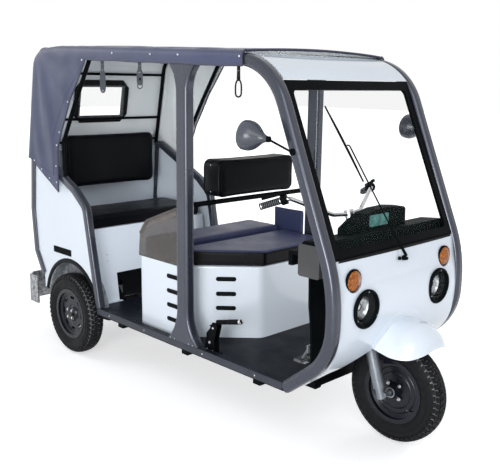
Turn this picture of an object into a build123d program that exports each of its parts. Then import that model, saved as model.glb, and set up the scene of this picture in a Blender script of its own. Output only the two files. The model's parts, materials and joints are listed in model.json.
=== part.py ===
"""Three-wheeled electric auto rickshaw: tube-framed open cab, canvas hood, steered front wheel.

Millimetres. While it is modelled, X runs forward from the rear axle, Y to the left and Z up from
the ground. At the end the whole vehicle is moved along X so that the origin is the centre of its
footprint, on the ground.
"""
import os
from math import asin, cos, degrees, radians, sin, tan

from build123d import *

# ---------------------------------------------------------------- driving dimensions
WHEELBASE = 2180.0
TYRE_OD = 530.0
TYRE_WIDTH = 112.0
RIM_FLANGE_D = 330.0
SEAT_GAP = 0.3                  # clearance wherever one piece seats on another
RUN_GAP = 0.4                   # radial clearance of a hub on its axle
CLEAR = 6.0                     # least air beside anything that turns

HOOP_Y = 517.0                  # centre plane of the front hoops and B pillars
REAR_WHEEL_Y = HOOP_Y + 6       # centre plane of each rear tyre

FLOOR_TOP = TYRE_OD / 2 + 80
FLOOR_T = 25.0
SILL_TOP = FLOOR_TOP + 20
SILL_OUT = HOOP_Y + 21          # outer face of the sill, from the centre plane
SILL_W = 30.0
FLOOR_FRONT = WHEELBASE - TYRE_OD / 2 - 20
FLOOR_REAR = 205.0

HOOP_W = 62.0                   # square tube with well rounded corners
HOOP_R = HOOP_W * 22 / 62
RAIL_REAR_X = 300.0
RAIL_SLOPE = 0.033              # the roof rail falls towards the front
RAIL_Z_AT_KNEE = 1872.0
KNEE_X = WHEELBASE - 419        # where the roof rail meets the line of the A pillar
KNEE_R = 320.0
BROW = (WHEELBASE - 12, 890.0, 700.0)   # x, z and radius where the A pillar turns upright
TOE = (WHEELBASE - 12, 547.0, 320.0)    # x, z and radius where the hoop turns under to the sill
HOOP_END = (FLOOR_FRONT + 5, FLOOR_TOP - 6)

PILLAR_X = 1135.0
PILLAR_W = 90.0
PILLAR_EDGE_R = 18.0
PILLAR_FLARE = (128.0, 110.0)   # extra width each side at the foot and at the head
PILLAR_FLARE_H = (195.0, 150.0)

GLASS_FOOT = (WHEELBASE - 39, 1002.0)   # x, z of the windscreen's lower edge
GLASS_HEAD = (WHEELBASE - 374, 1784.0)
GLASS_T = 5.0
SCREEN_FRAME_T = 24.0
SCREEN_BORDER = 40.0
SCREEN_TOP_BORDER = 48.0

FASCIA_T = 14.0
FASCIA_CROWN_R = 10000.0
LAMP = (306.0, 752.0, 94.0)     # y, z and bezel radius
BLINKER = (380.0, 895.0, 55.0)

CANVAS_T = 10.0
CANVAS_CROWN = 18.0
CANVAS_FRONT = WHEELBASE - 580
CANVAS_REAR_HEAD = (-400.0, 1829.0)
CANVAS_REAR_FOOT = (-512.0, 1262.0)
CANVAS_CORNER_R = 150.0
CANVAS_PLAN_R = HOOP_W * 38 / 62

BODY_TUBE = 50.0                # tube round each rear side panel
BODY_TUBE_Y = HOOP_Y - 2
BODY_TUBE_R = 15.0
PANEL_T = 14.0
ARCH = (-35.0, TYRE_OD / 2 + 20, TYRE_OD / 2 + 47)      # wheel arch: x, z and radius

BOX_TOP = 760.0
BOX_WALL = 14.0
DRIVER_PAD_H = 88.0
REAR_PAD_H = 112.0
BENCH_PAD_H = 82.0

CASTER = 18.0                   # rake of the steering axis, degrees
AXLE_LEAD = 72.0                # the front axle stands this far ahead of the steering axis
FORK_Y = 105.0
FORK_D = 60.0
FORK_LEAD = 46.0                # the legs stand this far ahead of the steering axis
FORK_FOOT = (27.0, -25.0, 44.0)    # each leg thins and ends this far above the axle; diameter
YOKE_Z = TYRE_OD + 55
YOKE = (104.0, 40.0)            # depth and thickness of the yoke
SPINDLE_R = 8.0
SPACER_R = 13.0
LUG_T = 16.0
HEAD_D = 60.0
STEM_D = 40.0
HEAD_Z = (TYRE_OD + 110, TYRE_OD + 270)
COLUMN_D = 28.0
COLUMN_TOP = 1060.0
BAR_Z = 1114.0
STEER_LIMIT = 38.0

TYRE_R = TYRE_OD / 2
AXLE_Z = TYRE_R

RAIL_Y = 262.0
RAIL_W = 50.0
RAIL_H = 70.0
RAIL_LOW_Z = FLOOR_TOP - FLOOR_T - SEAT_GAP - RAIL_H / 2
RAIL_HIGH_Z = AXLE_Z + 150
FRAME_REAR = -470.0
FRAME_FRONT = FLOOR_FRONT - 15
TOW_EYE = (-520.0, RAIL_HIGH_Z - 5, 11.0, 10.0)   # x, z, hole radius and plate thickness
KICK = (170.0, 40.0)            # x where each rail starts to rise and where it is up
UPRIGHT_X = FLOOR_FRONT - 19
SHIELD_T = 12.0
SHIELD_TOP = 930.0
DASH_TOP = 1072.0
HOOD_TOP = 1172.0
HOOD_X = (WHEELBASE - 218, WHEELBASE - 152)
# x range, width, z range
STORAGE = (WHEELBASE - 260, WHEELBASE - 130, 60.0, 892.0, 1045.0)
CAB_HALF = HOOP_Y - HOOP_W / 2 - SEAT_GAP
GLASS_SET = 9.0
ROOF_CAP_MID = (WHEELBASE - 461, 1858.0)
# outer face of the fascia at the centre plane: x, z from the windscreen down and under
FASCIA_TOP = (WHEELBASE - 26, 994.0)
FASCIA_BROW = (WHEELBASE - 2, 870.0)
FASCIA_NOSE = (WHEELBASE + 17, 720.0)
FASCIA_CHIN = (WHEELBASE, 575.0)
FASCIA_UNDER = (WHEELBASE - 30, 505.0)
FASCIA_LIP = (WHEELBASE - 76, 450.0)
FASCIA_TAIL = (WHEELBASE - 215, 345.0)
RIM_LAND = 9.0
# y, z, bezel radius, depth of the bowl behind the panel
LAMPS = [(*LAMP, 80.0), (*BLINKER, 30.0)]
FENDER_T = 8.0
# ahead of the axle, half width, height of the edge and of the crown above the tyre's top
FENDER = [
    (-35, 186, -12, 120),
    (75, 188, -30, 98),
    (160, 160, -27, 60),
    (208, 104, -6, 22),
]
# centre line of the tube round the right-hand side panel, from the sill up, back and down
BODY_LOOP = [(AXLE_Z + 27, FLOOR_TOP - 6), (AXLE_Z - 60, 760), (160, 985), (40, 1078),
             (-455, 1318), (-494, 900), (-470, 610), (-380, 462)]
BODY_LOOP_R = [200, 90, 80, 40, 200, 60]
HOUSE_INNER = REAR_WHEEL_Y - 83
HOUSE_T = 6.0
REAR_FACE_X = -502.0
# outer face of the back panel from its top edge down: x, z
REAR_PROFILE = [(-468, 1290), (REAR_FACE_X, 880), (-478, 600), (-425, RAIL_HIGH_Z + 55)]
TAIL_LAMP = (-470.0, -400.0, 700.0, 860.0)     # y range, z range of the right-hand lamp
TAIL_LAMP_T = 36.0
PLATE = (220.0, 690.0, 820.0)   # width, z range of the number plate
CANVAS_EDGE_DROP = 29.0         # the hem hangs this far below the rail's centre line
# front edge of the side curtain, from the roof hem down, and its lower edge
CURTAIN = [(262, None), (95, 1679), (-40, 1459), (-98, 1329), (-104, 1062), (-520, 1262)]
WINDOW = (178.0, 212.0)         # half width and height of the rear window's clear opening
WINDOW_MID = 1625.0
WINDOW_BORDER = 45.0
WINDOW_CUT = 55.0               # each corner of the border is cut back this far
BORDER_T = 6.0
BOW_R = 13.0
# plan of the seat box: the near front corner is cut back for the driver's foot
BOX_PLAN = [(650, -470), (1000, -468), (1342, -128), (1342, 400), (1272, 468), (650, 470)]
BATTERY = (700.0, 1240.0, -170.0, 390.0, 240.0)     # x range, y range, height
DRIVER_PAD_PLAN = [(935, -440), (1010, -452), (1352, -118), (1352, 395), (1285, 462), (935, 462)]
REAR_PAD_PLAN = [(630, -440), (926, -440), (926, 462), (630, 462)]
SLOT = (100.0, 14.0)            # length and height of a louvre
SLOT_Z = (676.0, 590.0, 503.0, 416.0)
REST_X = (1020.0, 1165.0)
REST_HALF = 312.0
TIE_R = 14.0
TIE_Z = 1122.0
REST_Z = (TIE_Z + TIE_R + SEAT_GAP, 1358.0)
GUARD_TOP = [(655, 900), (725, 985), (1050, 1110)]      # x, z of the hip guard's upper edge
GUARD_Y = -468.0
GUARD_T = 8.0
VINYL_GUARD = (820.0, 792.0, 985.0, 18.0)      # rear edge, z range, thickness
APRON_TOP = (100.0, 828.0)
APRON_FOOT = (170.0, FLOOR_TOP + SEAT_GAP)
UNDER_BENCH = (300.0, 528.0)    # half width and top of the opening under the bench
BENCH_PAD = (-330.0, 125.0, 470.0)             # x range, half width
BENCH_REST = (-395.0, -300.0, 380.0, 1030.0, 1415.0)    # x range, half width, z range
# y, z of the arm's foot; x, z of the pad
PEDAL = (-315.0, FLOOR_TOP + 125, UPRIGHT_X - 62, FLOOR_TOP + 57)
BRAKE_Y = -477.0
STRAPS = [(385, 190), (750, 150), (WHEELBASE - 640, 150)]      # x and length
MIRROR = (WHEELBASE - 445, -HOOP_Y - 123, 1530.0)
MIRROR_ROOT_Z = 1470.0
AXLE_R = 32.0
SPRING_Y = 345.0
SPRING_W = 50.0
SPRING_HALF = 330.0
SPRING_EYE_Z = AXLE_Z + 3
SPRING_LOW_Z = AXLE_Z - 39
LEAF_T = 8.0
STUB_R = 17.0
# right-hand half of the bar from the clamp out: x, y, z
BAR_LINE = [
    (WHEELBASE - 365, -110, 1120),
    (WHEELBASE - 464, -335, 1216),
    (WHEELBASE - 580, -412, 1168),
]
BAR_BENDS = [50, 70, 60, 70, 50]
BAR_R = 11.0
CLAMP_R = 24.0
GRIP_R = 17.0
GRIP_LENGTH = 104.0
SWITCH_BOX = (30.0, 26.0)       # length along the bar and radius
LEVER_R = 6.0
RIM_W = 84.0
BARREL_R = 148.0
RIM_T = 5.0
HUB_HALF = 62.0                 # half length of the front hub
HUB_R = 27.0
REAR_HUB = (34.0, 46.0)         # half length and radius
# radius of the circle, radius and height of each stud that carries a wheel nut
FRONT_STUDS = (48.0, 6.0, 12.0)
REAR_STUDS = (34.0, 9.0, 10.0)


# ---------------------------------------------------------------- helpers
def rail_z(x):
    """Height of the roof rail's centre line at x."""
    return RAIL_Z_AT_KNEE + RAIL_SLOPE * (KNEE_X - x)


def steer_x(z):
    """X of the steering axis at height z."""
    return WHEELBASE - AXLE_LEAD - (z - AXLE_Z) * tan(radians(CASTER))


def block(x0, x1, y0, y1, z0, z1):
    """Box between two corners."""
    size = (x1 - x0, y1 - y0, z1 - z0)
    return Pos((x0 + x1) / 2, (y0 + y1) / 2, (z0 + z1) / 2) * Box(*size)


def side_face(points):
    """Face in the XZ plane (y = 0) from x, z points, its normal towards -Y."""
    return Plane.XZ * make_face(Polyline(*points, close=True))


def across(face, y0, y1):
    """Extrude an XZ face so that it spans y0 to y1."""
    return Pos(0, y0, 0) * extrude(face, amount=y1 - y0, dir=(0, 1, 0))


def xz_tube(points, radii, y, width, height, corner):
    """Rounded box tube along a filleted path in the plane at y."""
    path = FilletPolyline(*[(x, y, z) for x, z in points], radius=radii)
    start = Plane(origin=path @ 0, x_dir=(0, 1, 0), z_dir=path % 0)
    section = start * RectangleRounded(width, height, corner)
    return sweep(section, path=path)


def round_tube(points, radii, radius):
    """Round bar along a filleted path of x, y, z points."""
    path = FilletPolyline(*points, radius=radii) if len(points) > 2 else Polyline(*points)
    return sweep(Plane(origin=path @ 0, z_dir=path % 0) * Circle(radius), path=path)


def rod(start, end, radius):
    """Round bar from one point to another."""
    a = Vector(*start)
    b = Vector(*end)
    return extrude(Plane(origin=a, z_dir=b - a) * Circle(radius), amount=(b - a).length)


def plan_prism(points, z0, z1, radius=0.0):
    """Upright prism on a plan outline, with its upright edges rounded."""
    face = make_face(Polyline(*points, close=True))
    if radius:
        face = fillet(face.vertices(), radius)
    return Pos(0, 0, z0) * extrude(face, amount=z1 - z0)


def mirrored(shape):
    """The piece on the other side of the centre plane."""
    return mirror(shape, about=Plane.XZ)


def pair(shape):
    """A piece and its mirror image, as separate solids of one node."""
    return Compound([*shape.solids(), *mirrored(shape).solids()])


# ---------------------------------------------------------------- hoops and pillars
def front_hoop():
    """Right-hand hoop: roof rail, A pillar and the toe that runs under to the sill."""
    brow_x, brow_z, brow_r = BROW
    toe_x, toe_z, toe_r = TOE
    points = [(RAIL_REAR_X, rail_z(RAIL_REAR_X)), (KNEE_X, RAIL_Z_AT_KNEE)]
    points += [(brow_x, brow_z), (toe_x, toe_z), HOOP_END]
    hoop = xz_tube(points, [KNEE_R, brow_r, toe_r], -HOOP_Y, HOOP_W, HOOP_W, HOOP_R)
    sill = block(0, FLOOR_FRONT + SEAT_GAP, -700, 0, 0, SILL_TOP + SEAT_GAP)
    low = block(0, 2500, -700, 0, 0, FLOOR_TOP - FLOOR_T)
    return hoop - sill - low


def b_pillar():
    """Right-hand pillar, its foot and head spread like a trumpet."""
    half = PILLAR_W / 2
    foot, head = PILLAR_FLARE
    foot_h, head_h = PILLAR_FLARE_H
    z0 = SILL_TOP + SEAT_GAP
    under = HOOP_W / 2 + SEAT_GAP
    za = z0 + foot_h

    def side(sign):
        x = PILLAR_X + sign * half
        xf = PILLAR_X + sign * foot
        xh = PILLAR_X + sign * head
        zt = rail_z(xh) - under
        zb = rail_z(PILLAR_X) - under - head_h
        low = flare((xf, z0), (x, za))
        high = flare((xh, zt), (x, zb))
        return low, Line((x, za), (x, zb)), high, (xf, z0), (xh, zt)

    low_r, mid_r, high_r, foot_r, head_r = side(-1)
    low_f, mid_f, high_f, foot_f, head_f = side(1)
    edges = [low_r, mid_r, high_r, Line(head_r, head_f), high_f, mid_f, low_f]
    edges.append(Line(foot_f, foot_r))
    face = Plane.XZ * make_face(Wire(edges))
    body = across(face, -HOOP_Y - HOOP_W / 2, -HOOP_Y + HOOP_W / 2)
    upright = [edge for edge in body.edges() if abs((edge @ 0).Z - (edge @ 1).Z) > 50]
    return fillet(upright, PILLAR_EDGE_R)


def flare(end, start):
    """Arc that leaves start upright and reaches end."""
    dx = abs(end[0] - start[0])
    dz = abs(end[1] - start[1])
    radius = (dx * dx + dz * dz) / (2 * dx)
    sign = 1 if end[0] > start[0] else -1
    half_z = (end[1] - start[1]) / 2
    mid_x = start[0] + sign * (radius - (radius ** 2 - half_z ** 2) ** 0.5)
    return ThreePointArc(start, (mid_x, start[1] + half_z), end)


# ---------------------------------------------------------------- floor and chassis
def floor_pan():
    """Cab floor with a raised sill down each side."""
    inner = SILL_OUT - SILL_W
    floor = block(FLOOR_REAR, FLOOR_FRONT, -inner, inner, FLOOR_TOP - FLOOR_T, FLOOR_TOP)
    sill = block(AXLE_Z + 15, FLOOR_FRONT, -SILL_OUT, -inner, FLOOR_TOP - FLOOR_T, SILL_TOP)
    notch = block(0, AXLE_Z + 10, inner - 70, 700, 0, 500)
    floor = floor - notch - mirrored(notch)
    return floor + sill + mirrored(sill)


def chassis_frame():
    """Two box rails that kick up over the rear axle, with cross members and outriggers."""
    points = [(FRAME_FRONT, RAIL_LOW_Z), (KICK[0], RAIL_LOW_Z), (KICK[1], RAIL_HIGH_Z)]
    points.append((FRAME_REAR, RAIL_HIGH_Z))
    rail = xz_tube(points, 60, -RAIL_Y, RAIL_W, RAIL_H, 6)
    frame = rail + mirrored(rail)
    low = (RAIL_LOW_Z - 25, RAIL_LOW_Z + 25)
    high = (RAIL_HIGH_Z - 25, RAIL_HIGH_Z + 25)
    # x, width along x, z range
    members = [(FRAME_FRONT - 20, 40, low), (1480, 40, low), (PILLAR_X, 60, low), (640, 40, low)]
    members += [(-10, 40, high), (FRAME_REAR + 20, 40, high)]
    for x, width, (z0, z1) in members:
        frame += block(x - width / 2, x + width / 2, -RAIL_Y, RAIL_Y, z0, z1)
    top = FLOOR_TOP - FLOOR_T - SEAT_GAP
    for x in (520, PILLAR_X, WHEELBASE - 480):
        frame += block(x - 25, x + 25, -SILL_OUT + 12, SILL_OUT - 12, top - 30, top)
    hanger_y = (RAIL_Y + RAIL_W / 2 - 1, SPRING_Y - SPRING_W / 2 - SEAT_GAP)
    for x in (-SPRING_HALF + 8, SPRING_HALF - 14):
        high_z = RAIL_HIGH_Z if x < KICK[1] else RAIL_LOW_Z
        hanger = block(x - 16, x + 16, *hanger_y, SPRING_EYE_Z - 22, high_z + 20)
        cap = block(x - 16, x + 16, hanger_y[0], SPRING_Y + 22, SPRING_EYE_Z + 8.4, SPRING_EYE_Z + 20)
        frame += hanger + mirrored(hanger) + cap + mirrored(cap)
    x, z, hole_r, thick = TOW_EYE
    plate = block(x - 28, FRAME_REAR + 1, -45, 45, z - thick / 2, z + thick / 2)
    frame += fillet(plate.edges().filter_by(Axis.Z).group_by(Axis.X)[0], 20)
    frame -= rod((x, 0, z - thick), (x, 0, z + thick), hole_r)
    return frame


# ---------------------------------------------------------------- steering head
def steering_head():
    """Upright behind the front wheel, with the tube that the fork's stem turns in."""
    axis = Vector(-sin(radians(CASTER)), 0, cos(radians(CASTER)))
    z0, z1 = HEAD_Z
    base = Vector(steer_x(z0), 0, z0)
    length = (z1 - z0) / cos(radians(CASTER))
    plane = Plane(origin=base, z_dir=axis)
    tube = extrude(plane * Circle(HEAD_D / 2), amount=length)
    post_x = UPRIGHT_X
    post = block(post_x, post_x + 28, -35, 35, FLOOR_TOP + SEAT_GAP, z1 + 8)
    gusset = block(post_x + 10, steer_x(z1) + 25, -16, 16, z0 + 15, z1 - 10)
    body = post + gusset + tube
    bore = extrude(plane.offset(-200) * Circle(STEM_D / 2 + RUN_GAP), amount=length + 400)
    return body - bore


def inner_shield():
    """Flat bulkhead in front of the driver's feet."""
    x1 = UPRIGHT_X - SEAT_GAP
    wide = HOOP_Y - 37
    shield = block(x1 - SHIELD_T, x1, -wide, wide, FLOOR_TOP + SEAT_GAP, SHIELD_TOP)
    half = COLUMN_D / 2 + 2 * CLEAR
    return shield - block(x1 - SHIELD_T, x1, -half, half, SHIELD_TOP - 45, SHIELD_TOP)


def dashboard():
    """Crash pad under the windscreen with the instrument hood on it, notched for the column."""
    rear = UPRIGHT_X - SHIELD_T - 8
    # side profile of the pad: x, z
    profile = [(rear, SHIELD_TOP + SEAT_GAP), (rear + 24, SHIELD_TOP + SEAT_GAP)]
    profile += [(rear + 24, 984), (WHEELBASE - 88, 984), (WHEELBASE - 88, 1000)]
    profile += [(screen_inner_x(DASH_TOP) - CLEAR, DASH_TOP),
                (WHEELBASE - 230, DASH_TOP - 12)]
    profile += [(WHEELBASE - 258, DASH_TOP - 40), (WHEELBASE - 272, 1004), (rear, 1000)]
    shelf = across(side_face(profile), 35 - HOOP_Y, HOOP_Y - 35)
    # back view of the hood: y, z
    hood = [(-255, DASH_TOP - 20), (-255, 1092), (-200, 1122), (-125, 1154), (-30, 1170)]
    hood += [(90, HOOD_TOP), (195, 1160), (210, 1150), (214, DASH_TOP - 20)]
    shelf += Pos(HOOD_X[0], 0, 0) * extrude(
        Plane.YZ * make_face(Polyline(*hood, close=True)), amount=HOOD_X[1] - HOOD_X[0])
    notch = block(rear - 20, steer_x(SHIELD_TOP) + 24, -48, 48, 900, 1100)
    return shelf - notch - storage_space(SEAT_GAP)


def screen_inner_x(z):
    """X of the windscreen frame's inner face at height z."""
    slope = (GLASS_FOOT[0] - GLASS_HEAD[0]) / (GLASS_HEAD[1] - GLASS_FOOT[1])
    depth = SCREEN_FRAME_T * (1 + slope ** 2) ** 0.5
    return GLASS_FOOT[0] - depth - (z - GLASS_FOOT[1]) * slope


def storage_space(grow):
    """Block that the storage box fills, grown by a clearance."""
    x0, x1, width, z0, z1 = STORAGE
    outer = HOOP_Y - HOOP_W / 2 - SEAT_GAP
    return block(x0 - grow, x1 + grow, -outer - grow, width - outer + grow, z0 - grow, z1 + grow)


# ---------------------------------------------------------------- front bodywork
def screen_plane():
    """Plane of the windscreen's outer face, at the middle of its lower edge."""
    run = Vector(GLASS_HEAD[0] - GLASS_FOOT[0], 0, GLASS_HEAD[1] - GLASS_FOOT[1])
    normal = Vector(run.Z, 0, -run.X).normalized()
    return Plane(origin=(GLASS_FOOT[0], 0, GLASS_FOOT[1]), x_dir=(0, 1, 0), z_dir=normal)


def screen_height():
    dx = GLASS_HEAD[0] - GLASS_FOOT[0]
    dz = GLASS_HEAD[1] - GLASS_FOOT[1]
    return (dx * dx + dz * dz) ** 0.5


def screen_opening(grow=0.0):
    """Outline of the clear glass, centred in the frame's borders."""
    height = screen_height()
    clear_w = 2 * (CAB_HALF - SCREEN_BORDER) + 2 * grow
    clear_h = height - SCREEN_BORDER - SCREEN_TOP_BORDER + 2 * grow
    mid = (SCREEN_BORDER + height - SCREEN_TOP_BORDER) / 2
    return Pos(0, mid) * RectangleRounded(clear_w, clear_h, 25 + grow)


def windscreen_frame():
    """Black frame between the hoops, rebated for the glass."""
    height = screen_height()
    plane = screen_plane()
    outer = Pos(0, height / 2) * Rectangle(2 * CAB_HALF, height)
    frame = extrude(plane * outer, amount=-SCREEN_FRAME_T)
    frame -= extrude(plane.offset(1) * screen_opening(), amount=-SCREEN_FRAME_T - 2)
    rebate = extrude(plane.offset(-GLASS_SET) * screen_opening(12), amount=-SCREEN_FRAME_T)
    return frame - rebate


def windscreen_glass():
    """Flat pane in the frame's rebate."""
    plane = screen_plane().offset(-GLASS_SET - SEAT_GAP)
    return extrude(plane * screen_opening(12 - SEAT_GAP), amount=-GLASS_T)


def fascia_section(inset):
    """Edges of the fascia's profile, inset by a thickness."""
    top, brow, nose = FASCIA_TOP, FASCIA_BROW, FASCIA_NOSE
    chin, under, lip, tail = FASCIA_CHIN, FASCIA_UNDER, FASCIA_LIP, FASCIA_TAIL
    i = inset
    d = i * 0.7
    return [
        Line((top[0] - i, top[1]), (brow[0] - i, brow[1])),
        ThreePointArc((brow[0] - i, brow[1]), (nose[0] - i, nose[1]), (chin[0] - i, chin[1])),
        ThreePointArc((chin[0] - i, chin[1]), (under[0] - i, under[1] + i * 0.3),
                      (lip[0] - d, lip[1] + d)),
        Line((lip[0] - d, lip[1] + d), (tail[0] - d, tail[1] + d)),
    ]


def front_fascia():
    """White nose panel, slightly crowned from side to side, holed for the lamps and the wheel."""
    outer = fascia_section(0)
    inner = fascia_section(FASCIA_T)
    edges = outer + [Line(outer[-1] @ 1, inner[-1] @ 1)] + inner
    edges.append(Line(inner[0] @ 0, outer[0] @ 0))
    face = Plane.XZ * make_face(Wire(edges))
    spin = Axis((FASCIA_NOSE[0] - FASCIA_CROWN_R, 0, 0), (0, 0, 1))
    half_turn = degrees(asin(600 / FASCIA_CROWN_R))
    face = face.rotate(spin, -half_turn)
    panel = revolve(face, axis=spin, revolution_arc=2 * half_turn)
    panel = panel & block(WHEELBASE - 380, WHEELBASE + 220, -CAB_HALF, CAB_HALF, 300, 1100)
    arch = [(-450, 300), (-405, TYRE_OD - 105), (-300, TYRE_OD - 50), (-212, TYRE_OD - 13)]
    arch += [(-150, TYRE_OD + 70)]
    arch += [(-y, z) for y, z in reversed(arch)]
    cut = extrude(Plane.YZ * make_face(Polyline(*arch, close=True)), amount=WHEELBASE + 320)
    panel -= cut
    for y, z, radius, _ in LAMPS:
        for side in (-1, 1):
            seat = lamp_seat(y, z)
            centre = (seat, side * y, z)
            panel -= extrude(Plane(origin=centre, z_dir=(1, 0, 0)) * Circle(radius + SEAT_GAP),
                             amount=60)
            through = Plane(origin=(seat - 60, side * y, z), z_dir=(1, 0, 0))
            panel -= extrude(through * Circle(radius - RIM_LAND + SEAT_GAP), amount=100)
    return panel


def fascia_x(z):
    """X of the fascia's outer face at the centre plane, near the lamps."""
    top, brow, nose, chin = FASCIA_TOP, FASCIA_BROW, FASCIA_NOSE, FASCIA_CHIN
    if z > brow[1]:
        share = (z - brow[1]) / (top[1] - brow[1])
        return brow[0] + share * (top[0] - brow[0])
    arc = ThreePointArc(brow, nose, chin)
    centre = arc.arc_center
    return centre.X + (arc.radius ** 2 - (z - centre.Y) ** 2) ** 0.5


def lamp_seat(y, z):
    """X of the flat that a lamp's bezel sits on, a little under the panel's face."""
    return fascia_x(z) - y * y / (2 * FASCIA_CROWN_R) - 6


def headlamps():
    """Round headlamps: bezel, dished bowl and its back."""
    y, z, radius, depth = LAMPS[0]
    seat = lamp_seat(y, z) + SEAT_GAP
    body = radius - RIM_LAND
    # radius, distance ahead of the seat
    outline = [(0, -depth), (body * 0.45, -depth), (body, -depth * 0.35), (body, 0), (radius, 0)]
    outline += [(radius, 10), (radius - 6, 16), (radius - 15, 16), (radius - 18, 4)]
    outline += [(radius * 0.45, -depth + 24), (0, -depth + 18)]
    face = make_face(Polyline(*outline, close=True))
    lamp = revolve(Plane.XZ * face, axis=Axis.Z)
    placed = Pos(seat, -y, z) * Rot(0, 90, 0) * lamp
    return pair(placed)


def headlamp_lenses():
    """Domed clear lenses inside the bezels."""
    y, z, radius, _ = LAMPS[0]
    seat = lamp_seat(y, z) + SEAT_GAP
    r = radius - 18 - SEAT_GAP
    outline = [(0, 18), (r * 0.6, 15), (r, 7), (r, 4.6), (0, 4.6)]
    lens = revolve(Plane.XZ * make_face(Polyline(*outline, close=True)), axis=Axis.Z)
    return pair(Pos(seat, -y, z) * Rot(0, 90, 0) * lens)


def indicators():
    """Round amber indicators, domed, on a short base through the panel."""
    y, z, radius, depth = LAMPS[1]
    seat = lamp_seat(y, z) + SEAT_GAP
    body = radius - RIM_LAND
    outline = [(0, -depth), (body, -depth), (body, 0), (radius, 0), (radius, 10)]
    outline += [(radius - 5, 14), (radius * 0.7, 22), (radius * 0.35, 26), (0, 27)]
    lamp = revolve(Plane.XZ * make_face(Polyline(*outline, close=True)), axis=Axis.Z)
    return pair(Pos(seat, -y, z) * Rot(0, 90, 0) * lamp)


def front_fender():
    """Duck-bill mudguard fixed to the nose over the front wheel."""
    t = FENDER_T
    faces = []
    for ahead, half, low, top in FENDER:
        low += TYRE_OD
        top += TYRE_OD
        outer = ThreePointArc((-half, low), (0, top), (half, low))
        inner = ThreePointArc((-half + t, low), (0, top - t), (half - t, low))
        edges = [outer, inner, Line((-half, low), (-half + t, low))]
        edges.append(Line((half - t, low), (half, low)))
        faces.append(Plane.YZ.offset(WHEELBASE + ahead) * make_face(Wire(edges)))
    shell = loft(faces, ruled=True)
    return shell - across(fascia_blank(), -CAB_HALF, CAB_HALF)


def fascia_blank():
    """Everything behind the fascia's outer face, as a side profile."""
    outer = fascia_section(-SEAT_GAP)
    back = WHEELBASE - 380
    edges = outer + [Line(outer[-1] @ 1, (back, FASCIA_TAIL[1])), Line((back, FASCIA_TAIL[1]),
                     (back, FASCIA_TOP[1])), Line((back, FASCIA_TOP[1]), outer[0] @ 0)]
    return Plane.XZ * make_face(Wire(edges))


def front_roof_cap():
    """White panel between the hoops, from the windscreen back to the canvas."""
    thick = 14
    gap = SEAT_GAP
    foot_x, foot_z = GLASS_HEAD[0], GLASS_HEAD[1] + 2 + gap
    mid_x, mid_z = ROOF_CAP_MID
    rear_x = CANVAS_FRONT - 30
    rear_z = rail_z(rear_x) + HOOP_W / 2 - 1
    outer = ThreePointArc((foot_x, foot_z), (mid_x, mid_z), (rear_x, rear_z))
    inner = ThreePointArc((foot_x - thick * 0.8, foot_z), (mid_x - thick * 0.6, mid_z - thick),
                          (rear_x, rear_z - thick))
    edges = [outer, Line(outer @ 1, inner @ 1), inner, Line(inner @ 0, outer @ 0)]
    return across(Plane.XZ * make_face(Wire(edges)), -CAB_HALF, CAB_HALF)


def wiper():
    """Wiper arm and blade lying on the screen, with the washer nozzle beside its pivot."""
    plane = screen_plane()
    # across the screen, up the screen, clear of its face
    pivot_top = plane.from_local_coords((6, -58, 22))
    blade_mid = plane.from_local_coords((-190, 520, 16))
    blade_foot = plane.from_local_coords((-120, 335, 9))
    blade_head = plane.from_local_coords((-262, 715, 9))
    seat = fascia_x(930) + SEAT_GAP
    low_seat = fascia_x(938) + SEAT_GAP
    boss = rod((seat, 6, 944), (seat + 26, 6, 944), 13)
    arm = rod(pivot_top, blade_mid, 5)
    blade = rod(blade_foot, blade_head, 7)
    clip = rod(blade_mid, plane.from_local_coords((-190, 520, 6)), 6)
    nozzle = rod((low_seat, -30, 947), (low_seat + 12, -30, 947), 9)
    return Compound([*(boss + arm + blade + clip).solids(), *nozzle.solids()])


# ---------------------------------------------------------------- rear bodywork


def body_path(y):
    return FilletPolyline(*[(x, y, z) for x, z in BODY_LOOP], radius=BODY_LOOP_R)


def body_tube(grow=0.0):
    """The right-hand loop's tube, grown by a clearance when it is used to cut."""
    path = body_path(-BODY_TUBE_Y)
    start = Plane(origin=path @ 0, x_dir=(0, 1, 0), z_dir=path % 0)
    side = BODY_TUBE + grow
    return sweep(start * RectangleRounded(side, side, BODY_TUBE_R + grow / 2), path=path)


def rear_hoop():
    """Right-hand tube that frames the side panel."""
    sill = block(0, 700, -700, 0, 0, SILL_TOP + SEAT_GAP)
    return body_tube() - sill


def side_panel():
    """Right-hand white side panel inside its tube, cut for the wheel."""
    path = body_path(0)
    start = path @ 0
    end = path @ 1
    edges = list(path.edges())
    edges += [Line(end, (end.X, 0, 345)), Line((end.X, 0, 345), (start.X, 0, 345))]
    edges.append(Line((start.X, 0, 345), start))
    face = make_face(Wire(edges))
    outer = SILL_OUT - 12
    plate = extrude(face, amount=PANEL_T, dir=(0, -1, 0))
    plate = Pos(0, -outer + PANEL_T, 0) * plate
    plate -= body_tube(2 * SEAT_GAP)
    x, z, radius = ARCH
    wheel_cut = rod((x, -700, z), (x, -400, z), radius)
    plate -= wheel_cut
    plate -= block(-500, 500, -700, -400, 0, SILL_TOP + SEAT_GAP)
    return max(plate.solids(), key=lambda solid: solid.volume)


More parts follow.
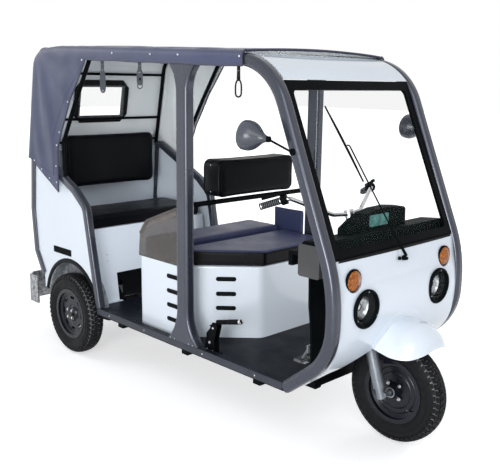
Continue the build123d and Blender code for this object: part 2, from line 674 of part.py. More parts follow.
def wheel_house():
    """Right-hand inner wheel arch: a half drum over the tyre with a flat inner wall."""
    x, z, radius = ARCH
    outer_y = -(SILL_OUT - 12 - PANEL_T) + SEAT_GAP
    big = rod((x, outer_y, z), (x, -HOUSE_INNER, z), radius)
    small = rod((x, outer_y - 1, z), (x, -HOUSE_INNER - HOUSE_T, z), radius - HOUSE_T)
    drum = big - small
    keep = block(x, 600, -700, 0, FLOOR_TOP + SEAT_GAP, 900)
    keep += block(-600, x, -700, 0, RAIL_HIGH_Z - 40, 900)
    gap = block(-600, 600, -RAIL_Y - 30, 0, 0, 2000)
    drum -= body_tube(2 * SEAT_GAP)
    return (drum & keep) - gap


def rear_panel():
    """White panel across the back between the side tubes."""
    half = BODY_TUBE_Y - BODY_TUBE / 2 - SEAT_GAP
    inner = [(x + PANEL_T, z) for x, z in reversed(REAR_PROFILE)]
    return across(side_face(REAR_PROFILE + inner), -half, half)


def tail_lamps():
    """Upright red and amber lamp on each side of the back."""
    x1 = REAR_FACE_X + 8
    y0, y1, z0, z1 = TAIL_LAMP
    lamp = fillet(block(x1 - TAIL_LAMP_T, x1, y0, y1, z0, z1).edges().filter_by(Axis.X), 14)
    return pair(lamp - rear_backing())


def number_plate():
    """Blank plate in the middle of the back."""
    width, z0, z1 = PLATE
    plate = block(REAR_FACE_X - 6, REAR_FACE_X + 40, -width / 2, width / 2, z0, z1)
    plate = fillet(plate.edges().filter_by(Axis.X), 8)
    return plate - rear_backing()


def rear_backing():
    """Space behind the back panel's outer face, for cutting what is fixed to it."""
    face = [(x - SEAT_GAP, z) for x, z in REAR_PROFILE]
    face += [(0, REAR_PROFILE[-1][1]), (0, REAR_PROFILE[0][1])]
    return across(side_face(face), -700, 700)


# ---------------------------------------------------------------- canvas hood
def canvas_section(grow):
    """Cross-section of the hood about the rail height, grown outward from the rails."""
    half = HOOP_Y + HOOP_W / 2 + 1 + grow
    shoulder = HOOP_W / 2 + 1 + grow
    crown = shoulder + CANVAS_CROWN
    corner = HOOP_R + 1 + grow
    low = -1100
    chord = 0.7071 * corner
    c = (half - corner, shoulder - corner)
    edges = [
        Line((-half, low), (-half, c[1])),
        ThreePointArc((-half, c[1]), (-c[0] - chord, c[1] + chord), (-c[0], shoulder)),
        ThreePointArc((-c[0], shoulder), (0, crown), (c[0], shoulder)),
        ThreePointArc((c[0], shoulder), (c[0] + chord, c[1] + chord), (half, c[1])),
        Line((half, c[1]), (half, low)),
        Line((half, low), (-half, low)),
    ]
    return make_face(Wire(edges))


def canvas_body(grow, front):
    """Solid under the hood's surface: cross-section run along the rails, cut by its profile."""
    x0 = -700
    z0 = rail_z(x0)
    run = Vector(front - x0, 0, rail_z(front) - z0)
    face = Plane.YZ.offset(x0) * Pos(0, z0) * canvas_section(grow)
    tunnel = extrude(face, amount=run.length, dir=run.normalized())
    head_x, head_z = CANVAS_REAR_HEAD
    foot_x, foot_z = CANVAS_REAR_FOOT
    lean = (head_x - foot_x) / (head_z - foot_z)
    inset = CANVAS_T - grow
    top_z = HOOP_W / 2 + 1 + grow + CANVAS_CROWN

    def rear_x(z):
        return head_x + (z - head_z) * lean + inset

    apex_z = rail_z(head_x) + top_z
    points = [(front, 700), (front, rail_z(front) + top_z + 2)]
    points += [(rear_x(apex_z), apex_z + 2), (rear_x(700), 700)]
    profile = make_face(Polyline(*points, close=True))
    corner = profile.vertices().sort_by(Axis.X)[:2].sort_by(Axis.Y)[-1]
    profile = fillet(corner, CANVAS_CORNER_R + grow)
    half = HOOP_Y + HOOP_W / 2 + 1 + grow
    low = rear_x(700) + SEAT_GAP
    plan = make_face(Polyline((low, -half), (front + 100, -half), (front + 100, half), (low, half),
                              close=True))
    plan = fillet(plan.vertices().sort_by(Axis.X)[:2], CANVAS_PLAN_R + grow)
    hull = extrude(Pos(0, 0, 700) * plan, amount=1400, dir=Vector(lean, 0, 1).normalized())
    return tunnel & across(Plane.XZ * profile, -700, 700) & hull


def canopy():
    """Hood: roof, rear curtain and the two side curtains, one continuous skin."""
    skin = canvas_body(CANVAS_T, CANVAS_FRONT) - canvas_body(0, CANVAS_FRONT + 50)
    drop = CANVAS_EDGE_DROP
    first = (CURTAIN[0][0], rail_z(CURTAIN[0][0]) - drop)
    front = CANVAS_FRONT + 100
    points = [(front, rail_z(front) - drop), first, *CURTAIN[1:], (-700, 1262), (-700, 600)]
    points.append((front, 600))
    skin -= across(side_face(points), -700, 700)
    window = Plane.YZ.offset(-700) * Pos(0, WINDOW_MID) * Rectangle(2 * WINDOW[0], WINDOW[1])
    window = fillet(window.vertices(), 20)
    return skin - extrude(window, amount=400)


def rear_wall_plane(inset):
    """Plane of the rear curtain, inset from its outer face, at the window's middle."""
    head_x, head_z = CANVAS_REAR_HEAD
    foot_x, foot_z = CANVAS_REAR_FOOT
    run = Vector(head_x - foot_x, 0, head_z - foot_z).normalized()
    normal = Vector(-run.Z, 0, run.X)
    x = head_x + (WINDOW_MID - head_z) * (head_x - foot_x) / (head_z - foot_z)
    origin = Vector(x, 0, WINDOW_MID) - normal * inset
    return Plane(origin=origin, x_dir=(0, 1, 0), z_dir=normal)


def rear_window():
    """Black border with cut corners inside the rear curtain, round the clear pane."""
    plane = rear_wall_plane(CANVAS_T + SEAT_GAP)
    half, height = WINDOW
    w = half + WINDOW_BORDER
    h = height / 2 + WINDOW_BORDER
    cut = WINDOW_CUT
    points = [(-w, -h + cut), (-w + cut, -h), (w - cut, -h), (w, -h + cut)]
    points += [(w, h - cut), (w - cut, h), (-w + cut, h), (-w, h - cut)]
    border = extrude(plane * make_face(Polyline(*points, close=True)), amount=-BORDER_T)
    return border - extrude(plane.offset(5) * Rectangle(2 * half - 8, height - 8), amount=-20)


def rear_window_pane():
    """Clear flexible pane behind the border."""
    plane = rear_wall_plane(CANVAS_T + SEAT_GAP + BORDER_T + SEAT_GAP)
    half, height = WINDOW
    return extrude(plane * Rectangle(2 * half + 20, height + 20), amount=-2)


def canopy_frame():
    """Black bows that hold the rear of the hood: two side bows, rear bows and cross bars."""
    y = HOOP_Y + HOOP_W / 2 + 5 - CANVAS_PLAN_R
    inset = CANVAS_T + BOW_R + 1.2
    head_x, head_z = CANVAS_REAR_HEAD
    foot_x, foot_z = CANVAS_REAR_FOOT
    lean = (head_x - foot_x) / (head_z - foot_z)

    def back_x(z):
        return head_x + (z - head_z) * lean + inset * 1.03

    top = rail_z(CANVAS_REAR_HEAD[0])
    start_x = RAIL_REAR_X - SEAT_GAP
    corner = (back_x(top), -y, top)
    low_z = 1300.0
    back = round_tube([(start_x, -y, rail_z(start_x)), corner, (back_x(low_z), -y, low_z)],
                      [CANVAS_CORNER_R - inset], BOW_R)
    front = round_tube([(265, -y, rail_z(265)), (75, -y, 1640), (-75, -y, 1400),
                        (-82, -y, 1130)], [120, 120], BOW_R)
    side = back + front - body_tube(2 * SEAT_GAP)
    frame = side + mirrored(side)
    bar_gap = 5.0
    rest_x = BENCH_REST[0] - SEAT_GAP
    for side_y in (-250, 250):
        frame += block(back_x(1340), rest_x, side_y - 15, side_y + 15, 1330, 1350)
    bars = ((-150, rail_z(-150)), (back_x(1812), 1812), (back_x(1500) + bar_gap, 1500),
            (back_x(1340) + bar_gap, 1340))
    for x, z in bars:
        frame += rod((x, -y, z), (x, y, z), 9)
    return frame


# ---------------------------------------------------------------- driver's place


def seat_box():
    """Hollow white box under the driver, with louvre slots on each side."""
    z0 = FLOOR_TOP + SEAT_GAP
    outer = plan_prism(BOX_PLAN, z0, BOX_TOP, 42)
    face = make_face(Polyline(*BOX_PLAN, close=True))
    face = fillet(face.vertices(), 42)
    inner = Pos(0, 0, z0 - 1) * extrude(offset(face, -BOX_WALL), amount=BOX_TOP - z0 - BOX_WALL + 1)
    box = outer - inner
    length, height = SLOT
    for z in SLOT_Z:
        tool = Plane.XZ * SlotOverall(length, height)
        cut = extrude(tool, amount=60, both=True)
        box -= Pos(868, -470, z) * cut
        box -= Pos(868, 470, z) * cut
        box -= Pos(1170, -299, z) * Rot(0, 0, 45) * cut
    return box


def battery_pack():
    """Heavy block of batteries in the seat box, on the floor."""
    z0 = FLOOR_TOP + SEAT_GAP
    x0, x1, y0, y1, height = BATTERY
    return block(x0, x1, y0, y1, z0, z0 + height)


def driver_cushion():
    """Driver's seat cushion on the front of the box."""
    z0 = BOX_TOP + SEAT_GAP
    return plan_prism(DRIVER_PAD_PLAN, z0, z0 + DRIVER_PAD_H, 30)


def rear_facing_cushion():
    """Second cushion behind the driver, for a passenger who faces back."""
    z0 = BOX_TOP + SEAT_GAP
    return plan_prism(REAR_PAD_PLAN, z0, z0 + REAR_PAD_H, 40)


def driver_backrest():
    """Two-sided padded backrest on its rail."""
    x0, x1 = REST_X
    z0, z1 = REST_Z
    pad = block(x0, x1, -REST_HALF, REST_HALF, z0, z1)
    return fillet(pad.edges().filter_by(Axis.X), 52)


def backrest_frame():
    """Rail between the B pillars that carries the backrest."""
    x = PILLAR_X
    reach = HOOP_Y - HOOP_W / 2 - SEAT_GAP
    return rod((x, -reach, TIE_Z), (x, reach, TIE_Z), TIE_R)


def smoked_guard():
    """Smoked plastic hip guard beside the rear-facing seat, from the B pillar back."""
    foot = BOX_TOP + SEAT_GAP
    front = PILLAR_X - PILLAR_W / 2 - 2
    outline = [(642, foot), *GUARD_TOP, (front, GUARD_TOP[-1][1]), (front, foot)]
    sheet = across(side_face(outline), GUARD_Y, GUARD_Y + GUARD_T)
    inner = [(1050, 1094), (734, 973), (668, 893)]
    rim = side_face(GUARD_TOP + inner)
    return sheet + across(rim, GUARD_Y - 6, GUARD_Y + GUARD_T + 6)


def vinyl_guard():
    """Padded panel that closes the left side beside the driver."""
    x0, z0, z1, t = VINYL_GUARD
    y0 = HOOP_Y - HOOP_W / 2 - 2
    panel = block(x0, PILLAR_X - PILLAR_W / 2 - SEAT_GAP, y0, y0 + t, z0, z1)
    return fillet(panel.edges().filter_by(Axis.Y), 24)


# ---------------------------------------------------------------- passenger bench


def bench_base():
    """White bench front with an arched opening, and the deck that carries the cushion."""
    half = BODY_TUBE_Y - BODY_TUBE / 2 - 12
    arch_x, arch_z, arch_r = ARCH
    tx, tz = APRON_TOP
    fx, fz = APRON_FOOT
    t = PANEL_T
    apron = across(side_face([(tx - 330, tz - t), (tx - 330, tz), (tx + t, tz), (fx + t, fz),
                              (fx, fz), (tx, tz - t)]), -half, half)
    apron -= block(0, 400, -UNDER_BENCH[0], UNDER_BENCH[0], 300, UNDER_BENCH[1])
    beside = HOUSE_INNER - SEAT_GAP
    wheel = rod((arch_x, -700, arch_z), (arch_x, -beside, arch_z), arch_r + SEAT_GAP)
    low = block(0, 400, -700, -beside, 300, arch_z + 60)
    return apron - wheel - mirrored(wheel) - low - mirrored(low)


def passenger_cushion():
    z0 = APRON_TOP[1] + SEAT_GAP
    x0, x1, half = BENCH_PAD
    cushion = block(x0, x1, -half, half, z0, z0 + BENCH_PAD_H)
    return fillet(cushion.edges().filter_by(Axis.Y), 26)


def passenger_backrest():
    """Upright padded back, leaning on the rear bow."""
    x0, x1, half, z0, z1 = BENCH_REST
    pad = block(x0, x1, -half, half, z0, z1)
    return fillet(pad.edges().filter_by(Axis.X), 45)


# ---------------------------------------------------------------- small fittings
def storage_box():
    """Grey box on the inside of the right-hand hoop."""
    return fillet(storage_space(0).edges().filter_by(Axis.Y), 14)


def brake_pedal():
    """Brake pedal on a short arm, in front of the driver's right foot."""
    shield = UPRIGHT_X - SEAT_GAP - SHIELD_T - SEAT_GAP
    y, foot_z, pad_x, pad_z = PEDAL
    foot = block(shield - 8, shield, y - 15, y + 15, foot_z - 20, foot_z + 20)
    arm = rod((shield - 7, y, foot_z), (pad_x + 1, y, pad_z + 3), 7)
    pad = block(pad_x - 24, pad_x + 24, y - 37, y + 37, pad_z - 6, pad_z + 6)
    return foot + arm + pad


def parking_brake():
    """Lever of the parking brake on the right of the seat box."""
    z0 = FLOOR_TOP + SEAT_GAP
    y = BRAKE_Y
    base = block(1270, 1350, y - 15, y + 15, z0, z0 + 62)
    elbow = (1362, y, 522)
    arm = rod((1300, y, z0 + 50), elbow, 9)
    grip = rod(elbow, (1535, y, 566), 13)
    return base + arm + grip


def grab_straps():
    """Strap loops that hang from the right-hand and left-hand roof rails."""
    straps = []
    for x, drop in STRAPS:
        z1 = rail_z(x + 12) - HOOP_W / 2 - SEAT_GAP
        z0 = z1 - drop
        straps += (block(x - 12, x + 12, -HOOP_Y - 5, -HOOP_Y + 1, z0, z1)).solids()
    return Compound(straps)


def mirrors():
    """Round mirrors on arms from the A pillars."""
    head = Vector(*MIRROR)
    dish = [(0, -22), (34, -20), (58, -8), (66, 4), (66, 10), (0, 10)]
    cup = revolve(Plane.XZ * make_face(Polyline(*dish, close=True)), axis=Axis.Z)
    cup = Pos(*head) * Rot(0, -90, 0) * cup
    root_z = MIRROR_ROOT_Z
    root_x = hoop_line_x(root_z)
    root = (root_x, -HOOP_Y - HOOP_W / 2 - SEAT_GAP, root_z)
    foot = rod(root, (root_x, root[1] - 10, root_z), 16)
    arm = rod((root_x, root[1] - 8, root_z), (head.X + 60, head.Y, head.Z - 4), 6)
    neck = rod((head.X + 66, head.Y, head.Z - 4), (head.X + 15, head.Y, head.Z), 9)
    return pair(cup + foot + arm + neck)


def hoop_line_x(z):
    """X of the straight A pillar's centre line at height z."""
    brow_x, brow_z, _ = BROW
    share = (z - brow_z) / (RAIL_Z_AT_KNEE - brow_z)
    return brow_x + share * (KNEE_X - brow_x)


# ---------------------------------------------------------------- axle and springs


def rear_axle():
    """Axle tube with its differential, backing plates and stub shafts."""
    end = REAR_WHEEL_Y - 75
    tube = rod((0, -end, AXLE_Z), (0, end, AXLE_Z), AXLE_R)
    bulb = Pos(0, 60, AXLE_Z) * Sphere(105)
    bulb = bulb & block(-95, 95, -60, 180, AXLE_Z - 95, AXLE_Z + 95)
    plate = rod((0, -end - 6, AXLE_Z), (0, -end, AXLE_Z), 98)
    stub = rod((0, -end, AXLE_Z), (0, -REAR_WHEEL_Y - 6, AXLE_Z), STUB_R)
    half = plate + stub
    return tube + bulb + half + mirrored(half)


def drive_motor():
    """Electric drive motor bolted to the back of the differential."""
    return rod((-95 - SEAT_GAP, 60, AXLE_Z), (-290, 60, AXLE_Z), 78)


def leaf(half, top, tip):
    """One leaf: an arc from tip to tip, its middle at the height top."""
    rise = (SPRING_EYE_Z - SPRING_LOW_Z) * (half / SPRING_HALF) ** 2
    upper = ThreePointArc((-half, top + rise), (0, top), (half, top + rise))
    lower = ThreePointArc((-half, top + rise - tip), (0, top - tip), (half, top + rise - tip))
    outline = [upper, Line(upper @ 1, lower @ 1), lower, Line(lower @ 0, upper @ 0)]
    plate = Plane.XZ * make_face(Wire(outline))
    return across(plate, -SPRING_Y - SPRING_W / 2, -SPRING_Y + SPRING_W / 2)


def leaf_springs():
    """Leaf pack under each end of the axle, hung from the chassis rails."""
    pack = leaf(SPRING_HALF, SPRING_LOW_Z, LEAF_T)
    for i, half in enumerate((240.0, 160.0), start=1):
        pack += leaf(half, SPRING_LOW_Z - i * LEAF_T + 0.5, LEAF_T)
    for x in (-SPRING_HALF + 8, SPRING_HALF - 14):
        eye = rod((x, -SPRING_Y - SPRING_W / 2, SPRING_EYE_Z - 6),
                  (x, -SPRING_Y + SPRING_W / 2, SPRING_EYE_Z - 6), 14)
        pack += eye
    y0, y1 = -SPRING_Y - SPRING_W / 2, -SPRING_Y + SPRING_W / 2
    saddle = block(-38, 38, y0, y1, SPRING_LOW_Z - 2, AXLE_Z - 12)
    saddle += block(-38, 38, y0, y1, SPRING_LOW_Z - 34, SPRING_LOW_Z)
    saddle -= rod((0, -700, AXLE_Z), (0, 0, AXLE_Z), AXLE_R + SEAT_GAP)
    return pair(pack + saddle)


def rear_bumpers():
    """Bright corner bumpers behind the rear wheels."""
    face = make_face(Polyline((-600, -300), (-600, -500), (-545, -556), (-440, -556),
                              (-440, -544), (-540, -544), (-588, -495), (-588, -300), close=True))
    plate = Pos(0, 0, RAIL_HIGH_Z - 180) * extrude(face, amount=190)
    low, high = RAIL_HIGH_Z - 30, RAIL_HIGH_Z + 5
    arm = block(-588, FRAME_REAR - SEAT_GAP, -RAIL_Y - 20, -RAIL_Y + 20, low, high)
    arm += block(-589, -572, -310, -RAIL_Y + 20, low, high)
    return pair(plate + arm)


# ---------------------------------------------------------------- steering
def leg_point(z):
    """Centre of the right-hand fork leg at height z."""
    return Vector(steer_x(z) + FORK_LEAD, -FORK_Y, z)


def front_fork():
    """Two legs under a yoke, the axle they carry and the stem up through the steering head."""
    rake = radians(CASTER)
    axis = Vector(-sin(rake), 0, cos(rake))
    thin_z = AXLE_Z + FORK_FOOT[0]
    foot_z = AXLE_Z + FORK_FOOT[1]
    foot_d = FORK_FOOT[2]
    leg = rod(leg_point(thin_z), leg_point(YOKE_Z), FORK_D / 2)
    leg += rod(leg_point(foot_z), leg_point(thin_z + 5), foot_d / 2)
    lug_y = (-FORK_Y - LUG_T / 2, -FORK_Y + LUG_T / 2)
    lug = block(leg_point(AXLE_Z).X, WHEELBASE, *lug_y, AXLE_Z - SPACER_R, AXLE_Z + SPACER_R)
    lug += rod((WHEELBASE, lug_y[0], AXLE_Z), (WHEELBASE, -HUB_HALF - 1, AXLE_Z), SPACER_R)
    side = leg + lug
    depth, thick = YOKE
    yoke_foot = YOKE_Z - thick / 2
    yoke_plane = Plane(origin=(steer_x(yoke_foot), 0, yoke_foot), x_dir=(0, 1, 0), z_dir=axis)
    outline = Pos(0, -FORK_LEAD / 2) * RectangleRounded(2 * FORK_Y + FORK_D + 4, depth, 30)
    yoke = extrude(yoke_plane * outline, amount=thick)
    spindle = rod((WHEELBASE, -FORK_Y, AXLE_Z), (WHEELBASE, FORK_Y, AXLE_Z), SPINDLE_R)
    stem = rod((steer_x(YOKE_Z), 0, YOKE_Z), (steer_x(HEAD_Z[1] + 8), 0, HEAD_Z[1] + 8),
               STEM_D / 2)
    column = rod((steer_x(HEAD_Z[1]), 0, HEAD_Z[1]), (steer_x(COLUMN_TOP), 0, COLUMN_TOP),
                 COLUMN_D / 2)
    return side + mirrored(side) + yoke + spindle + stem + column


def bar_tube(radius):
    """Round tube along the whole bar, from grip to grip."""
    other = [(x, -y, z) for x, y, z in reversed(BAR_LINE)]
    return round_tube([*other, (steer_x(BAR_Z), 0, BAR_Z), *BAR_LINE], BAR_BENDS, radius)


def handlebar():
    """Swept-back bar, clamped on the column."""
    low = COLUMN_TOP + SEAT_GAP
    clamp = rod((steer_x(low), 0, low), (steer_x(BAR_Z + 22), 0, BAR_Z + 22), CLAMP_R)
    return bar_tube(BAR_R) + clamp


def handlebar_controls():
    """Grips, switch boxes and levers on each end of the bar."""
    end = Vector(*BAR_LINE[-1])
    run = (Vector(*BAR_LINE[-2]) - end).normalized()
    box = GRIP_LENGTH + 3
    grip = rod(end - run * 6, end + run * GRIP_LENGTH, GRIP_R)
    collar = rod(end + run * box, end + run * (box + SWITCH_BOX[0]), SWITCH_BOX[1])
    link = rod(end + run * (GRIP_LENGTH - 1), end + run * (box + 1), GRIP_R - 1)
    pivot = end + run * (box + SWITCH_BOX[0] / 2)
    top = pivot + Vector(8, -4, GRIP_R + 16)
    post = rod(pivot + Vector(0, 0, GRIP_R), top, 8)
    lever = rod(top + run * 6, top - run * (GRIP_LENGTH + 14) + Vector(0, -6, 4), LEVER_R)
    lever += rod(top, top + run * 26, LEVER_R + 3)
    past_end = rod(end - run * 20, end + run * 20, BAR_R + SEAT_GAP)
    bore = bar_tube(BAR_R + SEAT_GAP) + past_end
    return pair((grip + link + collar + post + lever) - bore)


# ---------------------------------------------------------------- wheels
def tyre():
    """Tyre about the Y axis at the origin."""
    r = TYRE_R
    w = TYRE_WIDTH / 2
    bead = RIM_FLANGE_D / 2
    b = RIM_W / 2 - SEAT_GAP
    pts = [(b, BARREL_R + SEAT_GAP), (b, bead), (w - 5, bead + 22), (w, bead + 50), (w - 5, r - 22),
           (w - 20, r - 4), (0, r)]
    right = [(x, z) for x, z in pts]
    left = [(-x, z) for x, z in reversed(pts[:-1])]
    face = Plane.YZ * make_face(Polyline(*right, *left, close=True))
    return revolve(face, axis=Axis.Y)


def rim(dish, hub_half, hub_r, bore_r, slots):
    """Pressed disc wheel about the Y axis; its disc stands at y = dish and faces -Y."""
    bead = RIM_FLANGE_D / 2
    w = RIM_W / 2
    b = BARREL_R
    t = RIM_T
    flare = hub_r + (hub_half - abs(dish)) / 4 + t
    outline = [(-w - t, bead), (-w, bead), (-w, b), (w, b), (w, bead), (w + t, bead)]
    outline += [(w + t, b - t), (dish + t, b - t), (dish + t, flare), (hub_half, hub_r),
                (hub_half, bore_r), (-hub_half, bore_r), (-hub_half, hub_r),
                (dish - t, flare), (dish - t, b - 22), (dish - t - 8, b - t), (-w - t, b - t)]
    face = Plane.YZ * make_face(Polyline(*outline, close=True))
    wheel = revolve(face, axis=Axis.Y)
    for i in range(slots):
        tool = Rot(0, i * 360 / slots, 0) * Pos(0, dish, b - 44) * Rot(90, 0, 0)
        wheel -= tool * extrude(SlotOverall(44, 18), amount=40, both=True)
    return wheel


def studs(circle, radius, height, face_y):
    """Four studs round the wheel's axis, standing off the plane at face_y towards -Y."""
    group = []
    for i in range(4):
        a = radians(45 + i * 90)
        x, z = circle * sin(a), circle * cos(a)
        group.append(rod((x, face_y + 2, z), (x, face_y - height, z), radius))
    return group


def rear_wheel_parts():
    """Right-hand rear tyre and rim in place; the disc faces outward."""
    at = Pos(0, -REAR_WHEEL_Y, AXLE_Z)
    disc = rim(-18.0, *REAR_HUB, STUB_R + RUN_GAP, 8)
    for stud in studs(*REAR_STUDS, -REAR_HUB[0]):
        disc += stud
    return at * tyre(), at * disc


def front_wheel_parts():
    """Front tyre and rim in place, the hub recessed round its spindle."""
    at = Pos(WHEELBASE, 0, AXLE_Z)
    dish = -14.0
    disc = rim(dish, HUB_HALF, HUB_R, SPINDLE_R + RUN_GAP, 0)
    for end in (-1, 1):
        disc -= rod((0, end * (HUB_HALF + 1), 0), (0, end * (HUB_HALF - 16), 0), HUB_R - 8)
    for stud in studs(*FRONT_STUDS, dish - RIM_T):
        disc += stud
    return at * tyre(), at * disc


# ---------------------------------------------------------------- assembly
def build():
    """Every node by name, still measured from the rear axle."""
    rr_tyre, rr_rim = rear_wheel_parts()
    f_tyre, f_rim = front_wheel_parts()
    nodes = {
        "chassis_frame": chassis_frame(),
        "floor_pan": floor_pan(),
        "front_hoops": pair(front_hoop()),
        "b_pillars": pair(b_pillar()),
        "rear_hoops": pair(rear_hoop()),
        "steering_head": steering_head(),
        "inner_shield": inner_shield(),
        "dashboard": dashboard(),
        "windscreen_frame": windscreen_frame(),
        "windscreen_glass": windscreen_glass(),
        "front_fascia": front_fascia(),
        "front_fender": front_fender(),
        "front_roof_cap": front_roof_cap(),
        "headlamps": headlamps(),
        "headlamp_lenses": headlamp_lenses(),
        "indicators": indicators(),
        "wiper": wiper(),
        "side_panels": pair(side_panel()),
        "wheel_houses": pair(wheel_house()),
        "rear_panel": rear_panel(),
        "tail_lamps": tail_lamps(),
        "number_plate": number_plate(),
        "canopy": canopy(),
        "canopy_frame": canopy_frame(),
        "rear_window_border": rear_window(),
        "rear_window_pane": rear_window_pane(),
        "seat_box": seat_box(),
        "battery_pack": battery_pack(),
        "driver_cushion": driver_cushion(),
        "rear_facing_cushion": rear_facing_cushion(),
        "driver_backrest": driver_backrest(),
        "backrest_frame": backrest_frame(),
        "smoked_guard": smoked_guard(),
        "vinyl_guard": vinyl_guard(),
        "bench_base": bench_base(),
        "passenger_cushion": passenger_cushion(),
        "passenger_backrest": passenger_backrest(),
        "storage_box": storage_box(),
        "brake_pedal": brake_pedal(),
        "parking_brake": parking_brake(),
        "grab_straps": grab_straps(),
        "mirrors": mirrors(),
        "rear_axle": rear_axle(),
        "drive_motor": drive_motor(),
        "leaf_springs": leaf_springs(),
        "rear_bumpers": rear_bumpers(),
        "front_fork": front_fork(),
        "handlebar": handlebar(),
        "handlebar_controls": handlebar_controls(),
        "front_tyre": f_tyre,
        "front_rim": f_rim,
        "rear_right_tyre": rr_tyre,
        "rear_right_rim": rr_rim,
        "rear_left_tyre": mirrored(rr_tyre),
        "rear_left_rim": mirrored(rr_rim),
    }
    return nodes


def footprint_centre(nodes):
    """X of the middle of everything that is built."""
    boxes = [shape.bounding_box() for shape in nodes.values()]
    return (min(b.min.X for b in boxes) + max(b.max.X for b in boxes)) / 2


def main():
    os.makedirs("parts", exist_ok=True)
    nodes = build()
    shift = round(footprint_centre(nodes), 1)
    print("rear axle at x =", -shift)
    for name, shape in nodes.items():
        export_step(Pos(-shift, 0, 0) * shape, os.path.join("parts", name + ".step"))


if __name__ == "__main__":
    main()
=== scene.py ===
"""Auto rickshaw, dressed: hood, seats, tyres, lamps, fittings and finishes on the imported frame.

Metres. X runs forward, Y to the vehicle's left and Z up, as in the frame.
"""
import json
import math

import bmesh
import bpy
from bpy.props import FloatProperty, FloatVectorProperty, IntProperty, PointerProperty
from mathutils import Matrix, Vector, noise
from mathutils.bvhtree import BVHTree


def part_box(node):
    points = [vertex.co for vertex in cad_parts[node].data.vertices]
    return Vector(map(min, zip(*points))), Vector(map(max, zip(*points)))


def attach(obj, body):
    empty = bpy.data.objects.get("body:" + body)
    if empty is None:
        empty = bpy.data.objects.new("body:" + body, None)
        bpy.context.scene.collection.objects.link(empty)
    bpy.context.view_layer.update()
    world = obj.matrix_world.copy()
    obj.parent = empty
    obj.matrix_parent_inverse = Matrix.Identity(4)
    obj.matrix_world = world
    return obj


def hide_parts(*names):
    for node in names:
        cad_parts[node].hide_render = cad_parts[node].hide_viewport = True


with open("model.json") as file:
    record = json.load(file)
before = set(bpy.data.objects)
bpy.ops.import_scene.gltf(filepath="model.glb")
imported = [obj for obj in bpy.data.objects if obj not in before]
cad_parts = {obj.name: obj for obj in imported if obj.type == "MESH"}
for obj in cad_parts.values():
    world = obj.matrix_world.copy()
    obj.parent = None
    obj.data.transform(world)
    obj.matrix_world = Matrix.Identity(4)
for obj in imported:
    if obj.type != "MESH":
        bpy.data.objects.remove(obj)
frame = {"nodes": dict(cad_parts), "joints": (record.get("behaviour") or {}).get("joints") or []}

bl_info = {
    "name": "Auto Rickshaw",
    "version": (1, 0, 0),
    "blender": (4, 5, 0),
    "location": "3D View > Sidebar > Rickshaw",
    "description": "Dresses a three-wheeled auto rickshaw: hood, seats, tyres, lamps and finishes",
    "category": "Object",
}

NODES = frame["nodes"]
JOINTS = {joint["name"]: joint for joint in frame["joints"]}
REAR_AXLE_X = JOINTS["rear_right_spin"]["pos_m"][0]
MM = 0.001


def at(x, y, z):
    """Point given from the ground under the rear axle."""
    return Vector((x + REAR_AXLE_X, y, z))


# ---------------------------------------------------------------- materials
def linear(code):
    """Linear colour from an sRGB hex string."""
    channels = [int(code[i:i + 2], 16) / 255 for i in (1, 3, 5)]
    return [c / 12.92 if c <= 0.04045 else ((c + 0.055) / 1.055) ** 2.4 for c in channels] + [1.0]


def tone(colour):
    """Linear colour with alpha from a hex string or from a colour setting."""
    return linear(colour) if isinstance(colour, str) else [*colour[:3], 1.0]


def shades(colour, spread=0.1):
    """Darker and lighter neighbour of a colour setting."""
    return [[c * (1 + k * spread) for c in colour] for k in (-1, 1)]


def add(tree, kind, inputs=None, **settings):
    """Add a shader node with its settings; inputs hold values or other nodes' sockets."""
    made = tree.nodes.new("ShaderNode" + kind)
    for key, value in settings.items():
        setattr(made, key, value)
    for key, value in (inputs or {}).items():
        socket = made.inputs[key]
        if isinstance(value, bpy.types.NodeSocket):
            tree.links.new(value, socket)
        else:
            socket.default_value = value
    return made


def start_material(name):
    """Empty material with its tree, object coordinates and the shader's output node."""
    material = bpy.data.materials.new(name)
    material.use_nodes = True
    tree = material.node_tree
    tree.nodes.clear()
    where = add(tree, "TexCoord").outputs["Object"]
    output = add(tree, "OutputMaterial")
    return material, tree, where, output


def mottled(tree, where, low, high, size, detail=4.0):
    """Two sRGB colours mixed in cloudy patches of a size in metres."""
    cloud = add(tree, "TexNoise", {"Vector": where, "Scale": 1 / size, "Detail": detail})
    ramp = add(tree, "ValToRGB", {"Fac": cloud.outputs["Fac"]})
    ramp.color_ramp.elements[0].position = 0.3
    ramp.color_ramp.elements[0].color = tone(low)
    ramp.color_ramp.elements[1].position = 0.7
    ramp.color_ramp.elements[1].color = tone(high)
    return ramp.outputs["Color"]


def surface(name, low, high, patch, roughness, grain, bump, pebbled=False, span=0.0, **shader):
    """Principled finish: mottled colour, grain of a size in metres as bump, roughness and span."""
    material, tree, where, output = start_material(name)
    colour = mottled(tree, where, low, high, patch)
    kind, height = ("TexVoronoi", "Distance") if pebbled else ("TexNoise", "Fac")
    texture = add(tree, kind, {"Vector": where, "Scale": 1 / grain})
    relief = add(tree, "Bump", {"Strength": bump[0], "Distance": bump[1],
        "Height": texture.outputs[height]})
    inputs = {"Base Color": colour, "Normal": relief.outputs["Normal"], "Roughness": roughness}
    if span:
        wear = add(tree, "TexNoise", {"Vector": where, "Scale": 1 / (patch * 0.6), "Detail": 6.0})
        worn = add(tree, "MapRange", {"Value": wear.outputs["Fac"], "From Min": 0.3,
            "From Max": 0.7, "To Min": roughness - span, "To Max": roughness + span})
        inputs["Roughness"] = worn.outputs["Result"]
    inputs.update({SHADER_WORDS[word]: value for word, value in shader.items()})
    lit = add(tree, "BsdfPrincipled", inputs)
    tree.links.new(lit.outputs["BSDF"], output.inputs["Surface"])
    return material


